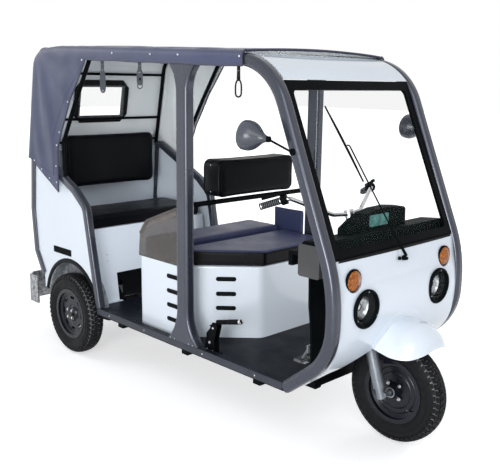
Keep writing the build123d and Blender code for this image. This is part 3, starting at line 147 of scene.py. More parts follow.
SHADER_WORDS = {"specular": "Specular IOR Level", "metal": "Metallic", "coat": "Coat Weight",
                "coat_rough": "Coat Roughness", "alpha": "Alpha", "ior": "IOR",
                "through": "Transmission Weight", "sheen": "Sheen Weight",
                "sheen_rough": "Sheen Roughness"}

# finish: name of the material, its two colours or a paint setting with a spread, size of the
# patches in m, roughness, grain in mm, strength and height in mm of the bump, and the rest
FINISH_TABLE = {
    # gelcoat on glass fibre, sprayed in a polished mould: white with a cool cast, high gloss
    # and a faint long-wave orange peel
    "gelcoat": ("gelcoat_moulded_white", "body", 0.03, 0.9, 0.2, 9, 0.03, 0.3,
        dict(span=0.05, coat=0.5, coat_rough=0.08)),
    # metallic enamel sprayed on steel tube: slate grey, flakes that break up the highlight
    "slate": ("enamel_metallic_slate", "frame", 0.1, 0.5, 0.27, 1.2, 0.02, 0.05,
        dict(span=0.04, metal=0.5, coat=0.3, coat_rough=0.08)),
    # powder coat baked on steel: satin black with a fine pebble
    "powder": ("powder_coat_black", "#07090b", "#0b0d10", 0.15, 0.36, 0.8, 0.1, 0.06,
        dict(span=0.08, specular=0.03)),
    # moulded ABS, spark-eroded grain: matt black
    "abs": ("abs_grained_black", "#090c0e", "#0f1315", 0.2, 0.5, 1.6, 0.2, 0.1,
        dict(pebbled=True, specular=0.02)),
    "abs_grey": ("abs_grained_grey", "#3c3d3e", "#474849", 0.2, 0.5, 1.6, 0.3, 0.15,
        dict(pebbled=True, specular=0.3)),
    # vulcanised rubber sheet on the floor: charcoal, scuffed dull
    "floor": ("rubber_sheet_charcoal", "#14171e", "#1a1e26", 0.3, 0.4, 3, 0.2, 0.2,
        dict(span=0.14, specular=0.05)),
    # PVC-coated polyester hood cloth: blue grey, slightly chalky with a coated weave
    "hood": ("pvc_coated_cloth_blue_grey", "hood", 0.16, 0.22, 0.44, 1.4, 0.2, 0.2,
        dict(span=0.06, pebbled=True, specular=0.35, sheen=0.1, sheen_rough=0.5)),
    # embossed PVC upholstery: leather pebble, satin
    "seat_blue": ("pvc_upholstery_blue_grey", "seat", 0.14, 0.2, 0.4, 2.2, 0.2, 0.15,
        dict(span=0.06, pebbled=True, specular=0.2)),
    "seat_black": ("pvc_upholstery_black", "#05060a", "#090a0f", 0.2, 0.34, 2.2, 0.15, 0.15,
        dict(span=0.06, pebbled=True, specular=0.07)),
    # cast acrylic, smoked brown grey and rubbed dull by hips and knees
    "smoked": ("acrylic_smoked", "#4c4744", "#575250", 0.12, 0.24, 20, 0.05, 0.3,
        dict(span=0.08, alpha=0.72, specular=0.4)),
    # float glass, ground edges: clear with a trace of green
    "glass": ("float_glass_clear", "#16302c", "#1a3631", 0.6, 0.03, 80, 0.01, 0.1,
        dict(alpha=0.05, specular=0.25)),
    # plasticised PVC film: clear, softly rippled
    "film": ("pvc_film_clear", "#dfe6ec", "#e9eef2", 0.4, 0.1, 80, 0.05, 0.5, dict(alpha=0.06)),
    # spun aluminium reflector, vacuum plated
    "reflector": ("aluminium_reflector_plated", "#6b7076", "#d3d7da", 0.026, 0.2, 8, 0.1, 0.2,
        dict(metal=1.0)),
    # moulded polycarbonate
    "lens": ("polycarbonate_clear", "#22282c", "#2a3034", 0.1, 0.05, 9, 0.15, 0.3,
        dict(alpha=0.06, ior=1.58)),
    "amber": ("polycarbonate_amber", "#5c2603", "#bd6c0c", 0.009, 0.14, 5, 0.5, 0.6,
        dict(ior=1.58, specular=0.35)),
    "red": ("polycarbonate_red", "#8e0f12", "#a5171a", 0.03, 0.16, 5, 0.4, 0.5,
        dict(ior=1.58, through=0.2)),
    # nickel-chrome plating, polished
    "chrome": ("steel_chrome_plated", "#c9cacc", "#d6d7d8", 0.05, 0.14, 4, 0.04, 0.1,
        dict(span=0.06, metal=1.0)),
    # rolled steel sheet, bright but scuffed by kerbs
    "bumper": ("steel_sheet_scuffed", "#56585c", "#b9bbbe", 0.022, 0.36, 12, 0.3, 0.8,
        dict(span=0.16, metal=0.85)),
    # die-cast aluminium, tumbled
    "cast": ("aluminium_die_cast", "#8d8f92", "#a1a3a6", 0.04, 0.42, 1.5, 0.25, 0.15,
        dict(metal=0.85)),
    # grey iron casting under chassis black
    "iron": ("cast_iron_painted", "#1c1c1d", "#29292a", 0.06, 0.6, 3, 0.5, 0.5, dict(span=0.1)),
    # spring steel leaves, painted and dusty
    "spring": ("spring_steel_painted", "#1e1e1f", "#353433", 0.03, 0.6, 4, 0.3, 0.4,
        dict(span=0.1, metal=0.2)),
    "motor": ("aluminium_case_painted", "#4a4c4f", "#56585b", 0.06, 0.45, 2, 0.25, 0.2,
        dict(metal=0.3)),
    # carbon-black rubber, moulded: brown-black; the pale colour in the tread's grooves is a painted
    # highlight, the next finish
    "tyre": ("tyre_rubber_moulded", "#0c0c0f", "#131417", 0.05, 0.6, 2.5, 0.3, 0.3,
        dict(span=0.1, specular=0.16)),
    # pale colour in the grooves of the tread: a painted highlight for the bright lines between the
    # blocks
    "dust": ("tyre_groove_dusty", "#55565a", "#8b8c8e", 0.012, 0.85, 3, 0.4, 0.4,
        dict(specular=0.1)),
    # polypropylene liners splashed with dried mud
    "liner": ("polypropylene_liner_splashed", "#565b60", "#9aa0a5", 0.03, 0.7, 4, 0.3, 0.4,
        dict(span=0.1)),
    # pressed steel wheel, sprayed dark
    "rim": ("steel_pressed_sprayed", "#10121a", "#181b24", 0.06, 0.28, 1.5, 0.08, 0.08,
        dict(span=0.08, metal=0.2, specular=0.35)),
    # vulcanised rubber seals and flaps
    "rubber": ("rubber_moulded_black", "#07080a", "#0c0d10", 0.05, 0.5, 1.2, 0.2, 0.12,
        dict(specular=0.1)),
    # nylon webbing, woven
    "webbing": ("nylon_webbing_dark_grey", "#3c4047", "#4e5259", 0.01, 0.7, 1.5, 0.8, 0.4,
        dict(pebbled=True, specular=0.3)),
    # silvered glass
    "mirror": ("glass_silvered", "#d9dcde", "#e0e3e4", 0.2, 0.03, 60, 0.01, 0.1, dict(metal=1.0)),
    # polypropylene battery case
    "battery": ("polypropylene_moulded_black", "#17181b", "#212226", 0.1, 0.5, 2, 0.2, 0.15, {}),
    # bright zinc plating on screws, studs and nuts
    "zinc": ("steel_zinc_plated", "#a9abae", "#c3c5c8", 0.02, 0.3, 1, 0.1, 0.05,
        dict(span=0.08, metal=0.95)),
    # back of the hood cloth: pale grey knitted scrim
    "lining": ("polyester_scrim_pale", "#eaf0f3", "#f1f5f6", 0.2, 0.75, 1.4, 0.3, 0.2,
        dict(pebbled=True)),
    # folded PVC tape sewn over the hood's edge
    "binding": ("pvc_tape_sewn", "#2b2e42", "#34374e", 0.04, 0.5, 1.2, 0.4, 0.2, {}),
    # upholstery on the cushion's side walls: the same cloth in black
    "seat_band": ("pvc_upholstery_band_black", "#050508", "#0a0a0e", 0.2, 0.3, 2.2, 0.15, 0.15,
        dict(span=0.06, pebbled=True, specular=0.1)),
    # silver enamel over the welded steel fork
    "silver": ("enamel_silver", "#6c7279", "#80868c", 0.06, 0.34, 1.2, 0.08, 0.1,
        dict(span=0.08, metal=0.6)),
    # extruded aluminium edging, anodised and walked on
    "alloy": ("aluminium_extruded_anodised", "#9a9da2", "#b4b7bb", 0.08, 0.34, 2, 0.1, 0.1,
        dict(span=0.1, metal=0.8)),
    # dark edging folded over the sills
    "edging": ("steel_sheet_painted_slate", "#2f323b", "#3a3d47", 0.2, 0.42, 2, 0.08, 0.1,
        dict(span=0.1, metal=0.2, specular=0.35)),
    # gloss grey moulding on the backs of the mirrors
    "mirror_case": ("abs_gloss_grey", "#3b3f48", "#484c56", 0.1, 0.25, 1.6, 0.03, 0.03,
        dict(specular=0.45)),
    # lighter, clearer band along the upper edge of the hip guard
    "smoked_band": ("acrylic_rubbed", "#7d7673", "#8b8481", 0.06, 0.5, 6, 0.1, 0.2,
        dict(alpha=0.55)),
    # soft thermoplastic grips
    "grip": ("thermoplastic_grip_grey", "#55585c", "#666a6e", 0.03, 0.4, 1.2, 0.2, 0.1,
        dict(specular=0.35)),
    # polycarbonate over the instruments; its teal colour is a painted reflection
    "teal": ("polycarbonate_tinted_teal", "#26625f", "#478f88", 0.03, 0.16, 20, 0.05, 0.3,
        dict(specular=0.3)),
    # printed dial card behind the instrument glass
    "dial": ("card_printed_dark", "#10201f", "#152a28", 0.04, 0.5, 3, 0.05, 0.05, {}),
    # enamelled blank plate
    "plate": ("aluminium_sheet_enamelled", "#c9cac6", "#d4d5d0", 0.1, 0.35, 6, 0.05, 0.1, {}),
}


def make_materials(colours):
    """Every finish on the vehicle by a short name; colours are the paint settings."""
    made = {}
    for finish, row in FINISH_TABLE.items():
        name, low, high, patch, roughness, grain, strength, height, rest = row
        if not low.startswith("#"):
            low, high = shades(getattr(colours, low), high)
        made[finish] = surface(name, low, high, patch, roughness, grain * MM,
            (strength, height * MM), **rest)
    return made


MATERIALS = {}

# finish: CAD nodes
FINISHES = {
    "powder": "chassis_frame steering_head windscreen_frame canopy_frame backrest_frame "
        "parking_brake",
    "floor": "floor_pan",
    "slate": "front_hoops b_pillars rear_hoops",
    "abs": "inner_shield dashboard wiper mirrors handlebar_controls",
    "glass": "windscreen_glass",
    "gelcoat": "front_fascia front_fender front_roof_cap side_panels rear_panel seat_box "
        "bench_base",
    "reflector": "headlamps",
    "lens": "headlamp_lenses",
    "amber": "indicators",
    "liner": "wheel_houses",
    "red": "tail_lamps",
    "plate": "number_plate",
    "hood": "canopy",
    "rubber": "rear_window_border",
    "film": "rear_window_pane",
    "battery": "battery_pack",
    "seat_blue": "driver_cushion rear_facing_cushion vinyl_guard",
    "seat_black": "driver_backrest passenger_cushion passenger_backrest",
    "smoked": "smoked_guard",
    "abs_grey": "storage_box",
    "cast": "brake_pedal",
    "webbing": "grab_straps",
    "iron": "rear_axle",
    "motor": "drive_motor",
    "spring": "leaf_springs",
    "bumper": "rear_bumpers",
    "silver": "front_fork",
    "chrome": "handlebar",
    "tyre": "front_tyre rear_right_tyre rear_left_tyre",
    "rim": "front_rim rear_right_rim rear_left_rim",
}


# ---------------------------------------------------------------- shaping
class Shape:
    """Points and faces of one piece, in metres from the ground under the rear axle."""

    def __init__(self, name, body="chassis"):
        self.name = name
        self.body = body
        self.points = []
        self.faces = []
        self.finish = []

    def put(self, points, faces, finish):
        start = len(self.points)
        self.points += [Vector(p) for p in points]
        self.faces += [tuple(i + start for i in face) for face in faces]
        self.finish += [finish] * len(faces)

    def grid(self, rows, finish, wrap=False, caps=False, skip=()):
        """Rows of points joined by quads; wrap closes each row, caps closes the ends."""
        n = len(rows[0])
        across = n if wrap else n - 1
        faces = []
        for j in range(len(rows) - 1):
            for i in range(across):
                if (j, i) not in skip:
                    k = (i + 1) % n
                    faces.append((j * n + i, j * n + k, (j + 1) * n + k, (j + 1) * n + i))
        if caps:
            faces.append(tuple(reversed(range(n))))
            faces.append(tuple(range((len(rows) - 1) * n, len(rows) * n)))
        self.put([p for row in rows for p in row], faces, finish)

    def lathe(self, profile, place, finish, steps=32, caps=False):
        """Profile of radius, height in mm turned about the local Z of a matrix."""
        rows = [[on(place, x, y, height) for x, y in polygon(steps, radius)]
            for radius, height in profile]
        self.grid(rows, finish, wrap=True, caps=caps)

    def tube(self, path, radius, finish, sides=10, closed=False, flat=1.0):
        """Round bar along points; radius in metres, or one for each point."""
        path = [Vector(p) for p in path]
        n = len(path)
        radii = radius if isinstance(radius, (list, tuple)) else [radius] * n
        ahead = []
        for i in range(n):
            a = path[i - 1] if (i or closed) else path[i]
            b = path[(i + 1) % n] if (i < n - 1 or closed) else path[i]
            ahead.append((b - a).normalized())
        side = ahead[0].orthogonal().normalized()
        rows = []
        for point, way, r in zip(path, ahead, radii):
            side = (side - way * side.dot(way)).normalized()
            up = way.cross(side)
            rows.append([point + side * (r * math.cos(a)) + up * (r * flat * math.sin(a))
                for a in (math.tau * i / sides for i in range(sides))])
        if closed:
            rows.append(rows[0])
        self.grid(rows, finish, wrap=True, caps=not closed)

    def plate(self, outline, place, depth, finish, edge=0.0):
        """Flat outline in mm raised along the local Z of a matrix, its top edge chamfered."""
        middle = Vector((sum(x for x, _ in outline), sum(y for _, y in outline))) / len(outline)
        rows = [[(x, y, 0) for x, y in outline], [(x, y, depth - edge) for x, y in outline]]
        if edge:
            top = []
            for x, y in outline:
                away = Vector((x, y)) - middle
                away *= max(0.0, 1 - edge / max(away.length, 0.01))
                top.append((middle.x + away.x, middle.y + away.y, depth))
            rows.append(top)
        self.grid([[on(place, *p) for p in row] for row in rows], finish, wrap=True, caps=True)

    def make(self, node, replaces=False, sharp=40.0):
        """Turn the gathered faces into an object on its body; with replaces, the CAD node is
        hidden.
        """
        mesh = bpy.data.meshes.new(self.name)
        shift = Vector((REAR_AXLE_X, 0, 0))
        mesh.from_pydata([p + shift for p in self.points], [], self.faces)
        kinds = list(dict.fromkeys(self.finish))
        for kind in kinds:
            mesh.materials.append(MATERIALS[kind])
        mesh.polygons.foreach_set("material_index", [kinds.index(f) for f in self.finish])
        tidy = bmesh.new()
        tidy.from_mesh(mesh)
        bmesh.ops.remove_doubles(tidy, verts=tidy.verts, dist=0.00002)
        bmesh.ops.recalc_face_normals(tidy, faces=tidy.faces)
        tidy.to_mesh(mesh)
        tidy.free()
        mesh.shade_smooth()
        mesh.set_sharp_from_angle(angle=math.radians(sharp))
        piece = bpy.data.objects.new(self.name, mesh)
        bpy.context.scene.collection.objects.link(piece)
        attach(piece, self.body)
        if replaces:
            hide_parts(node)
        return piece


def facing(x, y, z, way, turn=0.0):
    """Matrix at a point whose local Z looks along way."""
    spin = Vector(way).to_track_quat("Z", "Y").to_matrix().to_4x4()
    return Matrix.Translation((x, y, z)) @ spin @ Matrix.Rotation(math.radians(turn), 4, "Z")


def rounded(width, height, radius, steps=5):
    """Rounded rectangle outline in mm about its middle."""
    points = []
    for k, (sx, sy) in enumerate(((1, 1), (-1, 1), (-1, -1), (1, -1))):
        cx = sx * (width / 2 - radius)
        cy = sy * (height / 2 - radius)
        for i in range(steps + 1):
            a = math.radians(90 * k + 90 * i / steps)
            points.append((cx + radius * math.cos(a), cy + radius * math.sin(a)))
    return points


def on(place, x, y, z):
    """Point given in mm in the frame of a matrix."""
    return place @ Vector((x * MM, y * MM, z * MM))


def laid(outline, place, axis):
    """Outline with its sides swapped if the matrix lays its width along a vehicle axis."""
    return [(b, a) for a, b in outline] if abs(place.col[0][axis]) > 0.5 else outline


def polygon(sides, radius):
    """Corners of a regular polygon, or a circle's points."""
    return [(radius * math.cos(math.tau * i / sides), radius * math.sin(math.tau * i / sides))
        for i in range(sides)]


def smooth_path(points, steps=6):
    """Catmull-Rom curve through the points."""
    points = [Vector(p) for p in points]
    out = []
    for i in range(len(points) - 1):
        a, b, c, d = (points[min(max(i + k, 0), len(points) - 1)] for k in (-1, 0, 1, 2))
        for t in (s / steps for s in range(steps)):
            out.append(0.5 * ((2 * b) + (c - a) * t + (2 * a - 5 * b + 4 * c - d) * t * t
                + (3 * b - a - 3 * c + d) * t ** 3))
    return out + [points[-1]]


BUTTON = [(5.2, 0), (4.6, 1.6), (2.5, 2.8), (0, 3.0)]


def button(shape, x, y, z, way, scale=1.0, finish="zinc"):
    """Domed screw or snap head standing on a surface."""
    profile = [(r * scale, h * scale) for r, h in BUTTON]
    shape.lathe(profile, facing(x, y, z, way), finish, steps=14)


def hex_bolt(shape, x, y, z, way, across, height):
    """Hexagon head on a washer."""
    place = facing(x, y, z, way)
    shape.lathe([(across * 0.72, 0), (across * 0.72, 1.4), (across * 0.4, 1.4)], place, "zinc",
        steps=18)
    shape.plate(polygon(6, across * 0.56), place, height, "zinc", edge=1.0)


# ---------------------------------------------------------------- wheels
# tyre node: its body and its centre
WHEELS = {"front_tyre": ("front_wheel", (2.18, 0.0, 0.265)),
          "rear_right_tyre": ("rear_right_wheel", (0.0, -0.523, 0.265)),
          "rear_left_tyre": ("rear_left_wheel", (0.0, 0.523, 0.265))}
HUB_FACE = 34.0                 # outer face of a rear rim's disc from the tyre's middle, mm
TREAD_TOP = 258                 # radius of the tread's base at the crown, mm
WALL_LIMIT = 55.9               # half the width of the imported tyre, mm
# outer face of the tyre from the bead up the wall to the crown: side from its middle, radius, mm
TYRE_WALL = [(41.5, 162), (43.5, 166), (47, 171), (48.6, 176), (51.5, 186), (54, 198), (55.4, 212),
    (54.8, 224), (52, 234), (48.5, 240)]
TREAD_BASE = [(48.5, 240), (44, 247), (37, 252), (28, 255), (16, 257), (0, TREAD_TOP)]
# edges of a block row from the crown in mm along the tread, lean of its ends and phase
BLOCK_ROWS = [(2.4, 19, 7.0, 0.0, 0.78), (24, 40, -6.0, 0.5, 0.78), (45, 63, 3.0, 0.2, 0.70)]


def tread_point(run, side, angle, lift):
    """Point of the tread's base run mm from the crown, lifted off it; run follows the profile."""
    line = list(reversed(TREAD_BASE)) + [(52, 234), (54.8, 224)]
    left = run
    for (y0, r0), (y1, r1) in zip(line, line[1:]):
        span = math.hypot(y1 - y0, r1 - r0)
        if left <= span or (y1, r1) == line[-1]:
            t = left / span
            normal = ((r0 - r1) / span, (y1 - y0) / span)
            y = y0 + (y1 - y0) * t + normal[0] * lift
            r = r0 + (r1 - r0) * t + normal[1] * lift
            y = side * min(y, WALL_LIMIT)
            return Vector((r * math.sin(angle), y, r * math.cos(angle))) * MM
        left -= span
    return Vector()


def tread_block(shape, centre, row, side, index, settings):
    """One rubber block: a curved top and four tapered sides."""
    inner, outer, lean, phase, share = row
    pitch = math.tau / settings.pitches
    start = (index + phase + (0.5 if side > 0 else 0.0)) * pitch
    half = pitch * share / 2
    top, low = [], []
    for u, v in ((0.0, -1), (0.5, -1), (1.0, -1), (1.0, 1), (0.5, 1), (0.0, 1)):
        run = inner + (outer - inner) * u
        mid = start + lean * (u - 0.5) / TREAD_TOP
        top.append(centre + tread_point(run, side, mid + v * half, settings.tread / MM))
        low.append(centre + tread_point(max(0.3, run + (u - 0.5) * 1.8), side,
            mid + v * (half + 0.9 / TREAD_TOP), -0.6))
    faces = [(i, (i + 1) % 6, 6 + (i + 1) % 6, 6 + i) for i in range(6)]
    shape.put(low + top, faces + [(6, 7, 10, 11), (7, 8, 9, 10)], "tyre")


def make_tyre(node, body, centre, settings):
    """Block-tread tyre: carcass with wall rings and three rows of blocks on each side."""
    shape = Shape(node + "_treaded", body)
    centre = Vector(centre)
    wall = [(40.0, 149), (40.5, 158), *TYRE_WALL]
    place = facing(*centre, (0, 1, 0))
    shape.lathe([(r, -y) for y, r in wall], place, "tyre", steps=88)
    # the tread's base between the blocks takes the pale groove finish, a painted highlight
    shape.lathe([(r, -y) for y, r in TREAD_BASE] + [(r, y) for y, r in reversed(TREAD_BASE[:-1])],
        place, "dust", steps=88)
    shape.lathe([(r, y) for y, r in reversed(wall)], place, "tyre", steps=88)
    for radius, off in ((181, 50.2), (205, 54.9), (209, 55.2), (229, 54.0)):
        for side in (-1, 1):
            ring = [centre + Vector((radius * math.sin(a), side * off, radius * math.cos(a))) * MM
                for a in (math.tau * i / 72 for i in range(72))]
            shape.tube(ring, 0.9 * MM, "tyre", sides=5, closed=True)
    for side in (-1, 1):
        for row in BLOCK_ROWS:
            for index in range(settings.pitches):
                tread_block(shape, centre, row, side, index, settings)
    shape.make(node, replaces=True, sharp=30)


def rear_wheel_fittings(body, centre):
    """Nuts, centre cap and valve of a rear wheel, on its outer face."""
    x, y, z = centre
    side = int(math.copysign(1, y))
    shape = Shape(body + "_fittings", body)
    out = (0, side, 0)
    face = y + side * (HUB_FACE + 0.4) * MM
    for k in range(4):
        a = math.radians(45 + 90 * k)
        hex_bolt(shape, x + 34 * MM * math.sin(a), face + side * 3 * MM, z + 34 * MM * math.cos(a),
            out, across=17, height=12)
    place = facing(x, face, z, out)
    shape.lathe([(22, 0), (22, 9), (20, 13), (10, 16), (0.2, 16.5)], place, "iron", steps=28)
    shape.lathe([(96, -20), (99, -17.4), (102, -20)], place, "rim", steps=64)
    valve(shape, x, y + side * 20 * MM, z, side)
    shape.make("front_rim")


def valve(shape, x, y, z, side):
    """Tyre valve through the rim, with its cap."""
    foot = Vector((x + 132 * MM * math.sin(2.2), y, z + 132 * MM * math.cos(2.2)))
    way = Vector((-0.5 * math.sin(2.2), side * 0.86, -0.5 * math.cos(2.2)))
    shape.tube([foot, foot + way * 18 * MM], 4 * MM, "rubber")
    shape.tube([foot + way * 16 * MM, foot + way * 30 * MM], 2.6 * MM, "zinc")


def front_wheel_fittings():
    """Bright hub ring, bolts and valve of the front wheel, on both faces of its disc."""
    body, (x, _, z) = WHEELS["front_tyre"]
    shape = Shape("front_wheel_fittings", body)
    for side in (-1, 1):
        place = facing(x, side * 62 * MM, z, (0, side, 0))
        shape.lathe([(27.4, -9), (27.8, -1), (26.6, 1.4), (21, 1.4), (18.4, -0.6), (18.2, -14)],
            place, "cast", steps=40)
    for k in range(4):
        a = math.radians(45 + 90 * k)
        hex_bolt(shape, x + 48 * MM * math.sin(a), -31.5 * MM, z + 48 * MM * math.cos(a),
            (0, -1, 0), across=13, height=9)
    for radius in (92, 118):
        shape.lathe([(radius - 4, 19), (radius, 21.5), (radius + 4, 19)],
            facing(x, 0, z, (0, -1, 0)), "rim", steps=64)
    valve(shape, x, -22 * MM, z, -1)
    shape.make("front_rim")


class RICKSHAW_OT_wheels(bpy.types.Operator):
    """Block-tread tyres, wheel nuts, hub ring and valves"""
    bl_idname = "rickshaw.wheels"
    bl_label = "Wheels"

    def execute(self, context):
        for node, (body, centre) in WHEELS.items():
            make_tyre(node, body, centre, context.scene.rickshaw_wheels)
        for node in ("rear_right_tyre", "rear_left_tyre"):
            rear_wheel_fittings(*WHEELS[node])
        front_wheel_fittings()
        return {"FINISHED"}


# ---------------------------------------------------------------- hood
HALF = 0.559                    # outer face of the side curtains
RAIL_AT_KNEE = (1.761, 1.872)
RAIL_SLOPE = 0.033
HOOD_FRONT = 1.6
HOOD_HEAD = (-0.4, 1.829)       # two points of the rear curtain's outer face: x, z
HOOD_FOOT = (-0.512, 1.262)
REAR_LEAN = 0.1975              # x over z of the rear curtain
REAR_CORNER = 0.16              # radius where the roof turns down
FRONT_STATIONS = 34             # rows of the sheet ahead of the side curtains
LINING_GAP = 0.008
CROWN = 0.018
HEM_DROP = 0.029
CURTAIN = [(0.262, None), (0.095, 1.679), (-0.040, 1.459), (-0.098, 1.329), (-0.104, 1.062),
    (-0.464, 1.261)]
PANE = (0.178, 1.519, 1.731)    # half width, lowest and highest edge of the rear window
# snap studs on each side: x, z
STUDS = [(0.548, 1.921), (0.901, 1.909), (1.132, 1.903), (1.585, 1.889), (0.232, 1.886),
    (0.056, 1.637), (-0.060, 1.444), (-0.097, 1.361), (-0.114, 1.226), (-0.116, 1.121),
    (-0.395, 1.240), (-0.300, 1.190), (-0.205, 1.140)]


def rail_z(x):
    """Height of the roof rail."""
    return RAIL_AT_KNEE[1] + RAIL_SLOPE * (RAIL_AT_KNEE[0] - x)


def hood_profile():
    """Finely spaced centre-line points of the roof and rear curtain with outward normals."""
    lean = (HOOD_HEAD[0] - HOOD_FOOT[0]) / (HOOD_HEAD[1] - HOOD_FOOT[1])
    down = Vector((-lean, 0, -1)).normalized()
    back = Vector((-1, 0, RAIL_SLOPE)).normalized()
    top = rail_z(HOOD_HEAD[0]) + 0.06
    apex = Vector((HOOD_HEAD[0] + (top - HOOD_HEAD[1]) * lean, 0, top))
    turn = back.angle(down)
    radius = REAR_CORNER
    reach = radius * math.tan(turn / 2)
    start = apex - back * ((HOOD_FRONT - apex.x) / -back.x)
    out_back = Vector((RAIL_SLOPE, 0, 1)).normalized()
    first = apex - back * reach
    centre = first - out_back * radius
    line = []
    for i in range(200):
        line.append((start.lerp(first, i / 200), out_back, 1.0))
    for i in range(60):
        a = turn * i / 60
        normal = Matrix.Rotation(-a, 3, "Y") @ out_back
        line.append((centre + normal * radius, normal, 1 - i / 60))
    last = apex + down * reach
    normal = Matrix.Rotation(-turn, 3, "Y") @ out_back
    foot = last + down * ((last.z - HOOD_FOOT[1]) / -down.z)
    for i in range(101):
        line.append((last.lerp(foot, i / 100), normal, 0.0))
    return line


def along(line, far):
    """Point, normal and roof share at a distance along the profile."""
    run = 0.0
    for (p, n, w), (q, m, v) in zip(line, line[1:]):
        step = (q - p).length
        if run + step >= far:
            t = (far - run) / step
            return p.lerp(q, t), n.lerp(m, t).normalized(), w + (v - w) * t
        run += step
    return line[-1]


def total(line):
    """Whole length of the profile."""
    return sum((q[0] - p[0]).length for p, q in zip(line, line[1:]))


def polyline_at(points, share):
    """Point at a share of an x, z line's length."""
    spans = [math.dist(a, b) for a, b in zip(points, points[1:])]
    left = share * sum(spans)
    for a, b, span in zip(points, points[1:], spans):
        if left <= span or b == points[-1]:
            t = min(1.0, left / span)
            return a[0] + (b[0] - a[0]) * t, a[1] + (b[1] - a[1]) * t
        left -= span


def hood_stations():
    """Distances along the profile with the point of the hem or curtain edge under each."""
    line = hood_profile()
    whole = total(line)
    turn_x = CURTAIN[0][0]
    split = (HOOD_FRONT - turn_x) * math.hypot(1, RAIL_SLOPE)
    edge = [(turn_x, rail_z(turn_x) - HEM_DROP), *CURTAIN[1:]]
    spans = [math.dist(a, b) for a, b in zip(edge, edge[1:])]
    marks = {round(sum(spans[:k]) / sum(spans), 5) for k in range(len(spans) + 1)}
    for z in PANE[1:]:
        run = whole - (z - HOOD_FOOT[1]) * math.hypot(1, REAR_LEAN)
        marks.add(round((run - split) / (whole - split), 5))
    shares = sorted(marks)
    filled = [shares[0]]
    for share in shares[1:]:
        gap = share - filled[-1]
        parts = max(1, math.ceil(gap / 0.03))
        start = filled[-1]
        filled += [start + gap * (i + 1) / parts for i in range(parts)]
    stations = []
    for i in range(FRONT_STATIONS):
        far = split * i / FRONT_STATIONS
        x = HOOD_FRONT - (HOOD_FRONT - turn_x) * i / FRONT_STATIONS
        stations.append((far, (x, rail_z(x) - HEM_DROP)))
    stations += [(split + share * (whole - split), polyline_at(edge, share)) for share in filled]
    return line, stations


def hem_slack(x, z):
    """How far the cloth's edge falls at a point, slack between the studs."""
    near = sorted(math.dist((x, z), stud) for stud in STUDS)[0]
    return 0.004 * min(1.0, near / 0.12)


def side_fold(x, z):
    """Soft folds of the side curtain: upright behind, fanning from the rear top corner."""
    deep = noise.noise((x * 10.5 + (z - 1.5) * 1.6, z * 1.1, 3.1))
    fine = noise.noise((x * 26 + z * 4, z * 4, 8.2))
    away = math.hypot(x + 0.30, z - 1.96)
    fan = math.atan2(1.96 - z, x + 0.30)
    rays = math.sin(fan * 10 + 0.7) * math.exp(-away * 2.2)
    strength = bpy.context.scene.rickshaw_hood.folds
    return (0.0100 * deep + 0.0012 * fine + 0.0125 * rays) * strength


def behind(x):
    """0 to 1 over the stretch of roof behind the last bar."""
    t = min(1.0, max(0.0, (-0.04 - x) / 0.22))
    return t * t * (3 - 2 * t)


def roof_fold(x, y):
    """Roof cloth: a little slack between the bars, puckered near the rail."""
    slack = -0.0030 * math.sin((x - 0.2) * 5.6) ** 2
    slack -= bpy.context.scene.rickshaw_hood.sag * behind(x) * 0.8
    pucker = noise.noise((x * 9, y * 3, 1.7)) * 0.0018
    edge = max(0.0, abs(y) - 0.38) / 0.15
    return slack + pucker + 0.0022 * edge * noise.noise((x * 15, y * 9, 5.0))


# columns of the sheet: half the roof, a shoulder and a side
ROOF_COLUMNS = 12
SHOULDER_COLUMNS = 5
SIDE_COLUMNS = 16


def hood_rows(inset):
    """Grid rows of the hood from the right hem over the roof to the left hem."""
    line, stations = hood_stations()
    rows = []
    quarter = [i / SHOULDER_COLUMNS for i in range(SHOULDER_COLUMNS + 1)]
    for far, (qx, qz) in stations:
        point, normal, roof = along(line, far)
        radius = 0.033 * roof + 0.048 * (1 - roof)
        flat = HALF - radius
        half = []
        ys = sorted({PANE[0], *(flat * i / ROOF_COLUMNS for i in range(ROOF_COLUMNS + 1)
            if abs(flat * i / ROOF_COLUMNS - PANE[0]) > 0.02)})
        for y in ys:
            drop = CROWN * (y / flat) ** 2 * roof
            lift = roof_fold(point.x, y) * roof - drop - inset
            if roof < 0.01:
                lift += 0.002 * noise.noise((y * 7, point.z * 5, 2.2))
            half.append((point + normal * lift, y))
        low = bpy.context.scene.rickshaw_hood.sag * behind(point.x) * min(1.0, roof * 2)
        shoulder = point - normal * (CROWN * roof + low)
        for t in quarter[1:]:
            a = t * math.pi / 2
            reach = radius - inset
            centre = shoulder - normal * radius
            half.append((centre + normal * (reach * math.cos(a)), flat + reach * math.sin(a)))
        start = half[-1][0]
        slack = hem_slack(qx, qz)
        for i in range(1, SIDE_COLUMNS + 1):
            t = (i / SIDE_COLUMNS) ** 0.9
            x = start.x + (qx - start.x) * t
            z = start.z + (qz - slack - start.z) * t
            hold = min(1.0, 0.25 + 2.2 * min(t, 1 - t)) * min(1.0, abs(qz - start.z) * 5)
            out = side_fold(x, z) * hold
            half.append((Vector((x, 0, z)), HALF - inset + min(max(out, -0.003), 0.0085)))
        right = [Vector((p.x, -y, p.z)) for p, y in reversed(half)]
        left = [Vector((p.x, y, p.z)) for p, y in half if y > 1e-6]
        rows.append(right + left)
    return rows


def hood_sheet(name, inset, finish):
    """The hood as one sheet, open at the rear window."""
    rows = hood_rows(inset)
    n = len(rows[0])
    skip = set()
    for j in range(len(rows) - 1):
        for i in range(n - 1):
            corners = [rows[j][i], rows[j][i + 1], rows[j + 1][i], rows[j + 1][i + 1]]
            middle = sum(corners, Vector()) / 4
            inside = abs(middle.y) < PANE[0] and PANE[1] < middle.z < PANE[2]
            if inside and middle.x < -0.35:
                skip.add((j, i))
    shape = Shape(name)
    shape.grid(rows, finish, skip=skip)
    return shape, rows


